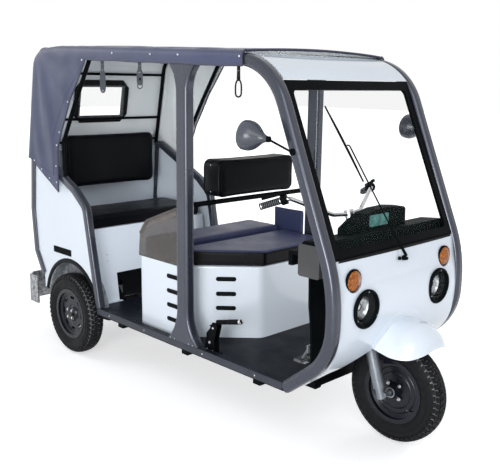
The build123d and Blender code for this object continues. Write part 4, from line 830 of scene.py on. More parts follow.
def hood_edge(rows, inset):
    """Closed loop of points round the hood's free edge."""
    right = [row[0] for row in rows]
    left = [row[-1] for row in rows]
    loop = right + rows[-1][1:-1] + list(reversed(left)) + list(reversed(rows[0][1:-1]))
    return [p - Vector((0, math.copysign(inset, p.y) if abs(p.y) > 0.5 else 0, 0)) for p in loop]


def seam_strip(shape, points, normal_of, width, lift):
    """Narrow raised band of doubled cloth along points on the hood."""
    rows = []
    for i, p in enumerate(points):
        way = (points[min(i + 1, len(points) - 1)] - points[max(i - 1, 0)]).normalized()
        normal = normal_of(p)
        side = way.cross(normal).normalized() * width
        rows.append([p - side / 2, p - side * 0.42 + normal * lift, p + side * 0.42 + normal * lift,
            p + side / 2])
    shape.grid(rows, "hood")


def window_edge():
    """Loop round the opening of the rear curtain."""
    out = []
    for y, z in rounded(2 * PANE[0] / MM, (PANE[2] - PANE[1]) / MM, 4, steps=2):
        height = z * MM + (PANE[1] + PANE[2]) / 2
        x = HOOD_HEAD[0] + (height - HOOD_HEAD[1]) * REAR_LEAN
        out.append(Vector((x - 0.0005, y * MM, height)))
    return out


def hood_seams(shape, rows):
    """Doubled bands: along both roof edges, across the roof and up the front corners."""
    last = len(rows[0]) - 1
    shoulder = SIDE_COLUMNS + SHOULDER_COLUMNS
    for i, side in ((shoulder, -1), (last - shoulder, 1)):
        roof = Vector((0, side * 0.25, 1)).normalized()
        lower = Vector((-0.1, side * 0.25, 1)).normalized()
        rear = Vector((-1, side * 0.25, 0.2)).normalized()
        seam_strip(shape, [row[i] for row in rows], lambda p: (lower if p.x < -0.3 else roof)
            if p.z > 1.86 else rear, 0.016, 0.0016)
    for x in (0.262, 0.95):
        middle = (last + 1) // 2
        row = min(rows, key=lambda r: abs(r[middle].x - x) + (r[middle].z < 1.9) * 9)
        top = [p for p in row if p.z > rail_z(p.x) + 0.036]
        seam_strip(shape, top, lambda p: Vector((0.03, 0, 1)), 0.018, 0.0016)
    for i, side in ((3, -1), (last - 3, 1)):
        seam_strip(shape, [row[i] for row in rows], lambda p: Vector((0, side, 0)), 0.004, 0.0012)


class RICKSHAW_OT_hood(bpy.types.Operator):
    """Hood cloth with its lining, bound edge, seams and snap studs"""
    bl_idname = "rickshaw.hood"
    bl_label = "Hood"

    def execute(self, context):
        shape, rows = hood_sheet("hood_sheet", 0.0, "hood")
        outer = shape.make("canopy", replaces=True, sharp=60)
        shape, _ = hood_sheet("hood_lining", LINING_GAP, "lining")
        inner = shape.make("canopy", sharp=60)
        binding = Shape("hood_binding")
        binding.tube(hood_edge(rows, 0.004), 0.0052, "binding", sides=8, closed=True)
        binding.tube(window_edge(), 0.0050, "binding", sides=8, closed=True)
        seams = Shape("hood_seams")
        hood_seams(seams, rows)
        trim = [binding.make("canopy"), seams.make("canopy")]
        studs = Shape("hood_studs")
        for x, z in STUDS:
            for side in (-1, 1):
                y = side * (HALF + max(side_fold(x, z) * 0.3, 0.0) + 0.0006)
                button(studs, x, y, z, (0, side, 0), scale=1.15)
        studs.make("canopy")
        return {"FINISHED"}


# ---------------------------------------------------------------- padded pieces
def inset_outline(points, d):
    """Convex outline moved inward by d along its corner bisectors."""
    n = len(points)
    area = sum(points[i][0] * points[(i + 1) % n][1] - points[(i + 1) % n][0] * points[i][1]
        for i in range(n))
    turn = 1 if area > 0 else -1
    out = []
    for i in range(n):
        p, q, r = (Vector(points[(i + k) % n]) for k in (-1, 0, 1))
        a = (q - p).normalized()
        b = (r - q).normalized()
        na = Vector((-a.y, a.x)) * turn
        nb = Vector((-b.y, b.x)) * turn
        away = (na + nb) / max(0.3, 1 + na.dot(nb))
        out.append(tuple(q + away * d))
    return out


def round_corners(points, radius, steps=4):
    """Convex outline with every corner rounded."""
    n = len(points)
    out = []
    for i in range(n):
        p, q, r = (Vector(points[(i + k) % n]) for k in (-1, 0, 1))
        a = (p - q).normalized()
        b = (r - q).normalized()
        reach = min(radius, 0.45 * (p - q).length, 0.45 * (r - q).length)
        for s in range(steps + 1):
            t = s / steps
            out.append(tuple(q + a * reach * (1 - t) ** 2 + b * reach * t ** 2))
    return out


class Pad:
    """Cushion about a plan outline in mm: z is up through its thickness in its own frame."""

    def __init__(self, name, outline, thick, place, corner, voxel, cap, drop, flat_back=True,
            ease=8):
        self.name = name
        self.outline = round_corners(outline, corner)
        self.thick = thick
        self.place = Matrix.Translation(at(0, 0, 0)) @ place
        self.voxel = voxel * MM
        self.cap = cap * MM
        self.drop = drop
        self.flat_back = flat_back
        self.ease = ease

    def start_form(self):
        """Closed form a little smaller than the finished pad, with eased edges."""
        t = self.thick
        shrink = 7
        rows = []
        low = 0 if self.flat_back else 5
        for inset, z in ((shrink + 9, low), (shrink + 2, low + 6), (shrink, low + 14),
                (shrink, t - self.drop - 10), (shrink + 3, t - self.drop - 3),
                (shrink + 12, t - self.drop)):
            rows.append([Vector((x, y, z)) * MM for x, y in inset_outline(self.outline, inset)])
        shape = Shape(self.name)
        shape.grid(rows, "seat_blue", wrap=True, caps=True)
        mesh = bpy.data.meshes.new(self.name)
        mesh.from_pydata(shape.points, [], shape.faces)
        return mesh

    def inflate(self):
        """Voxel remesh, swell as cloth under pressure, cap the movement and ease it out."""
        scene = bpy.context.scene
        work = bpy.data.objects.new(self.name + "_work", self.start_form())
        scene.collection.objects.link(work)
        remesh = work.modifiers.new("remesh", "REMESH")
        remesh.mode = "VOXEL"
        remesh.voxel_size = self.voxel
        graph = bpy.context.evaluated_depsgraph_get()
        mesh = bpy.data.meshes.new_from_object(work.evaluated_get(graph))
        work.modifiers.clear()
        work.data = mesh
        rest = [v.co.copy() for v in mesh.vertices]
        cloth = work.modifiers.new("cloth", "CLOTH")
        cloth.settings.quality = 4
        cloth.settings.mass = 0.4
        cloth.settings.use_pressure = True
        cloth.settings.uniform_pressure_force = scene.rickshaw_seats.stuffing
        cloth.settings.effector_weights.gravity = 0.0
        cloth.collision_settings.use_self_collision = False
        cloth.point_cache.frame_start = 1
        cloth.point_cache.frame_end = 20
        for frame_number in range(1, 21):
            scene.frame_set(frame_number)
        graph = bpy.context.evaluated_depsgraph_get()
        swollen = work.evaluated_get(graph).to_mesh()
        moved = [v.co.copy() for v in swollen.vertices]
        scene.frame_set(1)
        work.modifiers.clear()
        top = self.thick * MM
        steps = [end - start for start, end in zip(rest, moved)]
        steps = [step * min(1.0, self.cap / max(step.length, 1e-9)) for step in steps]
        for vertex, start, step in zip(mesh.vertices, rest, self.eased(mesh, steps)):
            point = start + step
            if self.flat_back:
                point.z = max(point.z, 0.0)
            point.z = min(point.z, top - 0.001)
            vertex.co = point
        return work, mesh

    def eased(self, mesh, steps):
        """Even the swelling out over its neighbours, so that no corner is pinched."""
        near = [[] for _ in steps]
        for a, b in mesh.edge_keys:
            near[a].append(b)
            near[b].append(a)
        for _ in range(self.ease):
            steps = [(step + sum((steps[k] for k in ring), Vector())) / (1 + len(ring))
                for step, ring in zip(steps, near)]
        return steps

    def make(self, finish, node, band):
        """The finished pad in place of its node; band is the finish of its side wall."""
        work, mesh = self.inflate()
        shape = bmesh.new()
        shape.from_mesh(mesh)
        bmesh.ops.smooth_vert(shape, verts=shape.verts, factor=0.5, use_axis_x=True,
            use_axis_y=True, use_axis_z=True)
        bmesh.ops.subdivide_edges(shape, edges=shape.edges, cuts=1, use_grid_fill=True, smooth=0.6)
        shape.to_mesh(mesh)
        shape.free()
        mesh.materials.append(MATERIALS[finish])
        if band:
            mesh.materials.append(MATERIALS[band])
            for face in mesh.polygons:
                face.material_index = int(face.center.z < (self.thick - 8) * MM
                    and abs(face.normal.z) < 0.86)
        mesh.shade_smooth()
        mesh.transform(self.place)
        if self.place.determinant() < 0:
            mesh.flip_normals()
        bpy.data.objects.remove(work)
        piece = bpy.data.objects.new(self.name, mesh)
        bpy.context.scene.collection.objects.link(piece)
        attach(piece, "chassis")
        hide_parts(node)
        self.tree = BVHTree.FromPolygons([v.co for v in mesh.vertices],
            [p.vertices for p in mesh.polygons])

    def seam(self, shape, path, radius, finish):
        """Piping laid on the finished pad along local points in mm."""
        points = []
        for p in path:
            hit = self.tree.find_nearest(on(self.place, *p))
            points.append(hit[0] + hit[1] * radius * 0.15 - at(0, 0, 0))
        shape.tube(points, radius, finish, sides=6, closed=True)

    def rim(self, z, step=8):
        """Closed path in mm round the pad at a height."""
        points = []
        for a, b in zip(self.outline, self.outline[1:] + self.outline[:1]):
            a, b = Vector(a), Vector(b)
            parts = max(1, int((b - a).length / step))
            points += [(*a.lerp(b, k / parts), z) for k in range(parts)]
        return points


FLAT = Matrix.Identity(4)
UPRIGHT = Matrix(((0, 0, 1, 0), (1, 0, 0, 0), (0, 1, 0, 0), (0, 0, 0, 1)))
SIDEWAYS = Matrix(((1, 0, 0, 0), (0, 0, 1, 0), (0, 1, 0, 0), (0, 0, 0, 1)))


def oblong(x0, x1, half):
    """Rectangle outline in mm about its own x axis."""
    return [(x0, -half), (x1, -half), (x1, half), (x0, half)]


# node: finish, outline and thickness in mm, place and axes, heights in mm and radius of its
# piping (None for the setting), and the form of the pad
PADS = {
    "driver_cushion": ("seat_blue", [(935, -440), (1010, -452), (1352, -118), (1352, 395),
                                     (1285, 462), (935, 462)], 88, (0, 0, 0.7603), FLAT,
                       (79, 6), None, dict(corner=12, voxel=9, cap=9, drop=4, ease=14)),
    "rear_facing_cushion": ("seat_blue", [(630, -440), (926, -440), (926, 462), (630, 462)],
                            112, (0, 0, 0.7603), FLAT, (92, 12), 0.0028,
                            dict(corner=20, voxel=10, cap=12, drop=8, ease=12)),
    "driver_backrest": ("seat_black", oblong(-312, 312, 110.9), 145, (1.020, 0, 1.24715),
                        UPRIGHT, (14, 131), 0.0030,
                        dict(corner=52, voxel=9, cap=8, drop=7, flat_back=False, ease=16)),
    "passenger_cushion": ("seat_black", oblong(-330, 125, 470), 82, (0, 0, 0.8283), FLAT,
                          (66,), 0.0028, dict(corner=18, voxel=11, cap=14, drop=8, ease=12)),
    "passenger_backrest": ("seat_black", oblong(-380, 380, 192.5), 95, (-0.395, 0, 1.2225),
                           UPRIGHT, (80,), 0.0028,
                           dict(corner=62, voxel=11, cap=14, drop=8, ease=14)),
    "vinyl_guard": ("seat_blue", oblong(-134.8, 134.8, 96.5), 18, (0.95485, 0.484, 0.8885),
                    SIDEWAYS, (9,), 0.0022,
                    dict(corner=24, voxel=5, cap=4, drop=2, flat_back=False)),
}
BAND_FINISH = {"driver_cushion": "seat_band"}       # side wall and piping in another finish


def backrest_details(pad, piping):
    """Stitched rings on both faces of the driver's backrest and its four buttons."""
    for z in (0, 145):
        ring = [(x * 0.90, y * 0.80, z) for x, y, _ in pad.rim(z)]
        pad.seam(piping, ring, 0.0014, "seat_black")
    for side in (-1, 1):
        for y in (-78, 78):
            spot, out, _, _ = pad.tree.find_nearest(at(1.0925, side * 0.312, 1.24715 + y * MM))
            button(piping, *(spot - at(0, 0, 0)), out, scale=0.8)


class RICKSHAW_OT_seats(bpy.types.Operator):
    """Swollen vinyl cushions and backrests with their piping"""
    bl_idname = "rickshaw.seats"
    bl_label = "Seats"

    def execute(self, context):
        piping = Shape("seat_piping")
        for node, row in PADS.items():
            finish, outline, thick, spot, axes, heights, roll, form = row
            band = BAND_FINISH.get(node)
            pad = Pad(node + "_padded", outline, thick, Matrix.Translation(spot) @ axes, **form)
            pad.make(finish, node, band)
            for z in heights:
                pad.seam(piping, pad.rim(z), roll or context.scene.rickshaw_seats.piping, band
                    or finish)
            if node == "driver_backrest":
                backrest_details(pad, piping)
        piping.make("passenger_cushion")
        return {"FINISHED"}


# ---------------------------------------------------------------- lamps
LAMP_AT = (0.306, 0.752)        # y and z of the headlamps' axes
BLINKER_AT = (0.380, 0.895)
BEZEL = [(85, -3), (94, 0.3), (94, 8.5), (92.6, 11.8), (89, 15.4), (86.5, 16), (80.5, 16),
    (78.6, 14.6), (76.4, 4.4), (74.0, -12), (71.0, -36)]
BOWL = [(71.0, -36), (67, -44), (61, -52), (53, -59.5), (45, -65), (36, -70), (26, -74),
    (16, -76.4), (9, -77)]


def headlamps():
    """Bezel, bowl, bulb and its holder of each headlamp."""
    shape = Shape("headlamp_units")
    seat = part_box("headlamps")[1][0] - REAR_AXLE_X - 0.016
    y, z = LAMP_AT
    for side in (-1, 1):
        place = facing(seat, side * y, z, (1, 0, 0))
        shape.lathe(BEZEL, place, "abs", steps=56)
        shape.lathe([(85, -3), (85, -52), (60, -79.5), (0.2, -79.5)], place, "abs", steps=28)
        reflector(shape, place)
        shape.lathe([(13, -76.6), (13, -63), (11.5, -61.5), (5.5, -61), (5.5, -41), (4.5, -38),
            (0.2, -37)], place, "chrome", steps=22)
        shape.lathe([(21, -47), (19, -37), (12, -32), (0.2, -30.5)], place, "chrome", steps=28)
        for k in range(3):
            a = math.radians(30 + 120 * k)
            leg = [on(place, r * math.cos(a), r * math.sin(a), h)
                for r, h in ((17, -43), (30, -58), (34, -70))]
            shape.tube(leg, 0.9 * MM, "chrome", sides=5)
        for k in range(3):
            a = math.radians(90 + 120 * k)
            spot = on(place, 83.5 * math.cos(a), 83.5 * math.sin(a), 16)
            button(shape, *spot, (1, 0, 0), scale=0.5)
    shape.make("headlamps", replaces=True, sharp=34)


def reflector(shape, place):
    """Bowl pressed with upright flutes, each pad of the reflector flat."""
    steps = 72
    rows = []
    for radius, height in BOWL:
        row = []
        for i in range(steps):
            a = math.tau * i / steps
            x, y = radius * math.cos(a), radius * math.sin(a)
            inside = 15 < radius < 71
            flute = abs(((x / 13.0) % 1.0) - 0.5) * 3.2 if inside else 0.0
            step = 0.9 if inside and int((y + 100) // 24) % 2 else 0.0
            row.append(on(place, x, y, height + flute + step))
        rows.append(row)
    shape.grid(rows, "reflector", wrap=True)


def indicators():
    """Bezel, cup and beaded amber lens of each indicator."""
    shape = Shape("indicator_units")
    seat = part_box("indicators")[1][0] - REAR_AXLE_X - 0.027
    y, z = BLINKER_AT
    for side in (-1, 1):
        place = facing(seat, side * y, z, (1, 0, 0))
        shape.lathe([(46, -3), (55, 0.3), (55, 7.5), (53.8, 10.2), (51, 11.4), (48.4, 11.2),
            (47.6, 9)], place, "abs", steps=44)
        shape.lathe([(46, -3), (46, -29.5), (0.2, -29.5)], place, "abs", steps=24)
        rows = []
        for j, (radius, height) in enumerate(((47.6, 9.4), (46.6, 12.6), (44, 15.4), (40, 17.6),
                (35, 19.8), (30, 21.6), (24, 23.3), (18, 24.8), (12, 25.9), (6, 26.6),
                (0.3, 26.8))):
            row = []
            for i in range(48):
                a = math.tau * i / 48
                bead = 0.45 * (1 if (i + j) % 2 else -1) if 3 <= j < 10 else 0.0
                row.append(on(place, radius * math.cos(a), radius * math.sin(a), height + bead))
            rows.append(row)
        shape.grid(rows, "amber", wrap=True)
        for a in (math.radians(50), math.radians(230)):
            spot = on(place, 51.2 * math.cos(a), 51.2 * math.sin(a), 11.2)
            button(shape, *spot, (1, 0, 0), scale=0.42)
    shape.make("indicators", replaces=True, sharp=20)


def tail_lamps():
    """Rim, panes, bars and screws on each tail lamp."""
    shape = Shape("tail_lamp_trim")
    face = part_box("tail_lamps")[0][0] - REAR_AXLE_X
    for side in (-1, 1):
        y, z = side * 0.435, 0.780
        place = facing(face, y, z, (-1, 0, 0))
        ring = [on(place, a, b, 0.4) for a, b in rounded(64, 154, 11)]
        shape.tube(ring, 2.6 * MM, "abs", sides=8, closed=True)
        for height, finish in ((46, "amber"), (-52, "lens")):
            pane = [(a, b + height) for a, b in rounded(56, 42, 6, steps=3)]
            shape.plate(pane, place, 2.2, finish, edge=1.2)
        for bar in (22, -28):
            shape.plate([(a, b + bar) for a, b in rounded(58, 2.6, 1, steps=2)], place, 2.6, "abs",
                edge=0.6)
        for height in (70, -70):
            spot = on(place, 0, height, 0.4)
            button(shape, *spot, (-1, 0, 0), scale=0.7)
    shape.make("tail_lamps")


class RICKSHAW_OT_lamps(bpy.types.Operator):
    """Headlamp bezels, fluted reflectors and bulbs, indicators and tail-lamp trim"""
    bl_idname = "rickshaw.lamps"
    bl_label = "Lamps"

    def execute(self, context):
        for build in (headlamps, indicators, tail_lamps):
            build()
        return {"FINISHED"}


# ---------------------------------------------------------------- outside trim
ARCH_AT = (-0.035, 0.285, 312.0)
PANEL_FACE = 0.526


def apron_x(z):
    """X of the apron's front face under the passenger bench."""
    return 0.114 + (0.828 - z) / 0.483 * 0.070


def arch_lips():
    """Rubber lip round the rear wheel arches."""
    shape = Shape("arch_lips")
    x0, z0, r0 = ARCH_AT
    section = [(r0 - 5, -2.0), (r0 - 5, 3.0), (r0 - 1, 6.0), (r0 + 14, 6.4), (r0 + 23, 3.6),
        (r0 + 24, 0.2)]
    low = math.acos((0.368 - z0) / (r0 * MM + 0.024))
    turns = [-low + 2 * low * i / 60 for i in range(61)]
    for side in (-1, 1):
        rows = [[Vector((x0 + r * MM * math.sin(a), side * (PANEL_FACE + h * MM),
            z0 + r * MM * math.cos(a))) for r, h in section] for a in turns]
        shape.grid([row for row in rows if -0.462 < row[-1].x < 0.262], "rubber")
    shape.make("side_panels")


def panel_plates():
    """Blank black plate on each side panel."""
    shape = Shape("side_blank_plates")
    for side in (-1, 1):
        place = facing(-0.1345, side * (PANEL_FACE + 0.0002), 0.6585, (0, side, 0))
        shape.plate(laid(rounded(219, 43, 5, steps=3), place, 2), place, 2.4, "abs", edge=0.9)
    shape.make("side_panels")


def apron_fixings():
    """Screws and foot plates of the apron under the bench."""
    shape = Shape("apron_fixings")
    face = apron_x(0.347)
    for side in (-1, 1):
        y = side * 0.364
        for z in (0.655, 0.615):
            button(shape, apron_x(z) + 0.0002, side * 0.360, z, (0.99, 0, 0.143), scale=0.85)
        foot = facing(face + 0.011, y, 0.3452, (0, 0, 1))
        shape.plate(laid(rounded(24, 158, 4, steps=3), foot, 1), foot, 3.0, "gelcoat", edge=1.0)
        for off in (-0.055, 0.0, 0.055):
            button(shape, face + 0.013, y + off, 0.3482, (0, 0, 1), scale=0.8)
    shape.make("bench_base", sharp=30)


SILL_OUTSIDE = [(538.2, 324), (539.6, 325), (540.2, 332), (540.2, 352), (539.6, 360),
    (538.2, 361.5)]
SILL_INSIDE = [(507.2, 365.6), (507.0, 364.8), (506.6, 350), (506.0, 347.2), (503, 345.6)]


def sill_edging():
    """Edging folded over both sills, with its screws."""
    shape = Shape("sill_edging")
    for side in (-1, 1):
        for section, ends in ((SILL_OUTSIDE, (0.286, 1.886)), (SILL_INSIDE, (0.34, 1.86))):
            rows = [[Vector((x, side * y * MM, z * MM)) for y, z in section]
                for x in (ends[0], 0.9, 1.4, ends[1])]
            shape.grid(rows, "edging")
        for x in (0.42, 0.78, 1.30, 1.70):
            button(shape, x, side * 0.5402, 0.342, (0, side, 0), scale=0.9)
    shape.make("floor_pan")


def seat_box():
    """The white box with its corners eased, closed, with a black plate on each slot as painted
    shade for the opening.
    """
    shape = Shape("seat_box_shell")
    plan = [(650, -470), (1000, -468), (1342, -128), (1342, 400), (1272, 468), (650, 470)]
    ring = round_corners(plan, 30, steps=5)
    rows = [[Vector((x, y, z)) * MM for x, y in inset_outline(ring, inset)]
        for inset, z in ((0, 345.3), (0, 560), (0, 751), (0, 754), (1.6, 758.4), (5, 760))]
    shape.grid(rows, "gelcoat", wrap=True, caps=True)
    shape.make("seat_box", replaces=True, sharp=50)
    slots = Shape("seat_box_louvres")
    for z in (0.689, 0.603, 0.520, 0.437):
        for x, y, way in ((0.968, -0.4684, (0.006, -1, 0)), (0.968, 0.4696, (0, 1, 0)),
                (1.196, -0.2736, (0.7049, -0.7093, 0))):
            louvre(slots, Vector((x, y, z)), Vector(way).normalized())
    slots.make("seat_box")


def louvre(shape, spot, out):
    """Black plate 112 mm long standing for an open slot, its black a painted shade, with a raised
    lip and a bar mesh behind it.
    """
    up = Vector((0, 0, 1))
    turn = Matrix((up.cross(out).normalized(), up, out)).transposed().to_4x4()
    place = Matrix.Translation(spot + out * 0.0006) @ turn
    outline = rounded(112, 23, 11)
    # black plate: painted shade where the slot would open into the box
    shape.plate(outline, place, 0.8, "abs", edge=0.2)
    shape.tube([on(place, a, b, 0.9) for a, b in outline], 1.3 * MM, "abs", sides=6, closed=True)
    for a in range(-48, 49, 8):
        bar = [on(place, a + b * 0.3, b, 1.0) for b in (-9, 9)]
        shape.tube(bar, 0.6 * MM, "iron", sides=4)


def bench_flap():
    """Black rubber flaps that close the space under the bench, cut round the rails."""
    shape = Shape("bench_rubber_flaps")
    x = 0.1215
    for y0, y1, z0, z1 in ((-0.232, 0.232, 0.3458, 0.556), (-0.430, -0.233, 0.458, 0.556),
            (0.233, 0.430, 0.458, 0.556), (-0.430, -0.292, 0.3458, 0.457),
            (0.292, 0.430, 0.3458, 0.457)):
        rows = [[Vector((x + dx, y, z)) for y, z in ((y0, z0), (y1, z0), (y1, z1), (y0, z1))]
            for dx in (0.0, 0.0025)]
        shape.grid(rows, "rubber", wrap=True, caps=True)
    for y in (-0.40, -0.20, 0.0, 0.20, 0.40):
        button(shape, x + 0.0026, y, 0.546, (1, 0, 0), scale=0.9)
    shape.make("bench_base")


def fender_flange():
    """Flange that joins the mudguard to the nose panel round its rear edge."""
    shape = Shape("fender_flange")
    _, half, low, top = FENDER[0]
    drop = top - low
    radius = (half * half + drop * drop) / (2 * drop)
    rows = []
    for i in range(41):
        a = math.asin(half / radius) * (i / 20 - 1)
        row = []
        for off, lift in ((-0.006, 0.0035), (0.002, 0.0022), (0.018, 0.0014), (0.038, 0.0008),
                (0.041, 0.0001)):
            y, z = (radius + off) * math.sin(a), top - radius + (radius + off) * math.cos(a)
            row.append(Vector((nose_x(y, z) + lift, y, z)))
        rows.append(row)
    shape.grid(rows, "gelcoat")
    shape.make("front_fender", sharp=60)


def fender():
    """The front mudguard as the mould leaves it: a blunt bill with a straight lip."""
    shape = Shape("front_mudguard")
    widths = smooth_path([Vector((x, half, low)) for x, half, low, _ in FENDER], steps=5)
    tops = smooth_path([Vector((x, top, 0)) for x, _, _, top in FENDER], steps=5)
    rows = []
    for (x, half, low), (_, top, _) in zip(widths, tops):
        row = []
        for skin, order in ((0.0, 1), (0.003, -1)):
            drop = top - skin - low
            radius = ((half - skin) ** 2 + drop ** 2) / (2 * drop)
            reach = math.asin((half - skin) / radius)
            arc = [reach * (i / 20 - 1) * order for i in range(41)]
            for a in arc:
                y = radius * math.sin(a)
                z = top - skin - radius * (1 - math.cos(a))
                row.append(Vector((max(x, nose_x(y, z) + 0.0004), y, z)))
        rows.append(row)
    lip = rows[-1]
    rows.append([(p + q) / 2 + Vector((0.0012, 0, 0)) for p, q in zip(lip, reversed(lip))])
    shape.grid(rows, "gelcoat", wrap=True)
    shape.make("front_fender", replaces=True, sharp=48)


SEAL = [(0.0012, 0.986), (0.0022, 0.991), (0.0012, 0.9965), (-0.006, 0.9985), (-0.034, 0.9985)]


def screen_seal():
    """Rubber seal between the nose panel and the windscreen frame."""
    shape = Shape("windscreen_lower_seal")
    rows = []
    for y in (-0.468 + 0.936 * i / 48 for i in range(49)):
        x = surface_point("front_fascia", (2.6, y, 0.984), (-1, 0, 0)).x
        rows.append([Vector((x + dx, y, z)) for dx, z in SEAL])
    shape.grid(rows, "rubber")
    shape.make("windscreen_frame")


def guard_band():
    """Lighter band along the upper edge of the smoked hip guard."""
    shape = Shape("smoked_guard_band")
    edges = [(0.658, 0.9005), (0.727, 0.983), (1.048, 1.1065)], [(0.664, 0.862), (0.742, 0.945),
        (1.048, 1.062)]
    for y in (-0.4687, -0.4593):
        lines = [smooth_path([(x, y, z) for x, z in edge], steps=8) for edge in edges]
        shape.grid([list(pair) for pair in zip(*lines)], "smoked_band")
    shape.make("smoked_guard")


def roof_fixings():
    """Screws along both sides of the roof cap."""
    shape = Shape("roof_cap_fixings")
    for x, z in ((1.640, 1.9115), (1.690, 1.9035), (1.752, 1.875)):
        for side in (-1, 1):
            hit = surface_point("front_roof_cap", (x, side * 0.455, z + 0.1), (0, 0, -1))
            if hit:
                button(shape, *hit, (0.2, 0, 1), scale=0.7, finish="gelcoat")
    if shape.faces:
        shape.make("front_roof_cap")


class RICKSHAW_OT_trim(bpy.types.Operator):
    """Wheel-arch lips, blank plates, screws and the sills' edging"""
    bl_idname = "rickshaw.trim"
    bl_label = "Outside Trim"

    def execute(self, context):
        for build in (arch_lips, panel_plates, apron_fixings, sill_edging, roof_fixings, seat_box,
                bench_flap, fender_flange, guard_band, screen_seal, fender):
            build()
        return {"FINISHED"}


# the mudguard's sections: x, half width, height of the edge and of the crown
FENDER = [(2.150, 0.186, 0.518, 0.650), (2.205, 0.188, 0.508, 0.650), (2.255, 0.188, 0.500, 0.649),
    (2.300, 0.180, 0.500, 0.640), (2.340, 0.160, 0.504, 0.618), (2.362, 0.137, 0.511, 0.596),
    (2.377, 0.109, 0.519, 0.570), (2.384, 0.086, 0.525, 0.550), (2.3865, 0.070, 0.529, 0.538)]


def nose_x(y, z):
    """x of the nose panel's face, from a line cast beside the lamps."""
    hit = surface_point("front_fascia", (2.6, 0.47, z), (-1, 0, 0))
    return (hit.x + 0.47 ** 2 / 20 if hit else 2.150) - y * y / 20


def surface_point(node, start, way):
    """Where a line first meets a CAD node, from the ground under the rear axle."""
    item = NODES[node]
    turn = item.matrix_world.inverted()
    a = turn @ at(*start)
    b = turn.to_3x3() @ Vector(way)
    found, hit, _, _ = item.ray_cast(a, b.normalized())
    return item.matrix_world @ hit - Vector((REAR_AXLE_X, 0, 0)) if found else None


# ---------------------------------------------------------------- cab
def straps():
    """Hanging straps turned to the doorway: a tongue, a webbing loop and a cord loop."""
    shape = Shape("strap_loops")
    across = Vector((0.7071, 0.7071, 0)) * MM
    thin = Vector((0.7071, -0.7071, 0)) * MM
    for x, drop, kind in ((0.385, 0.190, "tongue"), (0.750, 0.150, "loop"), (1.540, 0.150, "cord")):
        top = Vector((x, -0.519, rail_z(x + 0.012) - 0.0313))

        def spot(side, down, off=0.0):
            return top + across * side + thin * off - Vector((0, 0, down * MM))

        shape.plate(rounded(26, 12, 3, steps=2), facing(*top, (0, 0, -1), turn=45), 7, "abs",
            edge=1.0)
        long = drop / MM
        split = 0.42 * long
        if kind == "cord":
            outline = [(8, 4), (8, 0.25 * long), (9, split), (5, split + 6)]
        else:
            end = long if kind == "tongue" else 0.86 * long
            outline = [(9, 4), (9.5, 0.30 * end), (15, 0.42 * end), (17, 0.62 * end),
                (17, 0.86 * end), (14, 0.94 * end), (8, 0.985 * end), (0, end - 1)]
            split = 0.62 * long
        full = outline + [(-a, b) for a, b in reversed(outline)]
        rows = [[spot(a * (0.9 if edge else 1.0), b, off) for a, b in full]
            for off, edge in ((-1.6, 1), (-1.1, 0), (1.1, 0), (1.6, 1))]
        shape.grid(rows, "rubber" if kind == "cord" else "webbing", wrap=True, caps=True)
        for down in (24, 0.40 * long if kind != "tongue" else 0.3 * long):
            line = [spot(a, down, 2.0) for a in (-6, 6)]
            shape.tube(line, 0.5 * MM, "zinc", sides=4)
        if kind == "tongue":
            button(shape, *spot(0, long - 14, 1.4), thin, scale=0.8)
            continue
        r = 3.9 if kind == "cord" else 2.9
        wide = 13.5 if kind == "cord" else 12.0
        reach = (long - split) / 3
        loop = [(-2, split), (-0.62 * wide, split + 0.35 * reach), (-wide, split + reach),
            (-wide, long - 0.7 * reach), (-0.68 * wide, long - 8), (0, long - r),
            (0.68 * wide, long - 8), (wide, long - 0.7 * reach), (wide, split + reach),
            (0.62 * wide, split + 0.35 * reach), (2, split)]
        path = smooth_path([spot(a, b) for a, b in loop], steps=5)
        shape.tube(path, r * MM, "rubber" if kind == "cord" else "webbing", sides=8)
        shape.lathe([(5.5, -7), (6.5, -5), (6.5, 5), (5.5, 7)],
            facing(*spot(0, split + 2), (0, 0, 1)), "rubber", steps=16, caps=True)
    shape.make("grab_straps", replaces=True)


def mirrors():
    """Bell-backed mirrors on bent arms."""
    shape = Shape("mirror_units")
    bell = [(68.0, -4.0), (68.5, 2.0), (69.0, 14), (68.0, 26), (64.5, 38), (58.5, 50), (50, 62),
        (41, 73), (32, 84), (24, 95), (18, 107), (14.5, 118), (13.5, 128), (10, 135), (0.2, 137)]
    for side in (-1, 1):
        way = Vector((0.985, -side * 0.139, -0.10)).normalized()
        spot = Vector((1.7235, side * 0.643, 1.537))
        place = facing(*spot, way)
        shape.lathe(bell, place, "mirror_case", steps=48)
        face = facing(*(spot - way * 0.004), -way)
        shape.lathe([(68.0, 0), (67.0, 1.8), (64.0, 1.6), (63.4, 0.6)], face, "abs", steps=48)
        shape.lathe([(63.4, 0.6), (40, 1.0), (20, 1.3), (0.2, 1.4)], face, "mirror", steps=48)
        joint = spot + way * 0.127
        root = Vector((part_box("mirrors")[1][0] - REAR_AXLE_X - 0.016, side * 0.5483, 1.470))
        shape.lathe([(16, 0), (16, 7), (13, 10), (0.2, 10.5)], facing(*root, (0, side, 0)), "abs",
            steps=28)
        knee = root + Vector((-0.006, side * 0.018, 0.006))
        path = smooth_path([root + Vector((0, side * 0.006, 0)), knee, joint.lerp(knee, 0.5),
            joint], steps=6)
        shape.tube(path, 5.0 * MM, "abs", sides=12)
        shape.lathe([(10, -13), (14, -6), (14, 6), (10, 13)], facing(*joint, (0, 0, 1)), "abs",
            steps=22, caps=True)
    shape.make("mirrors", replaces=True)


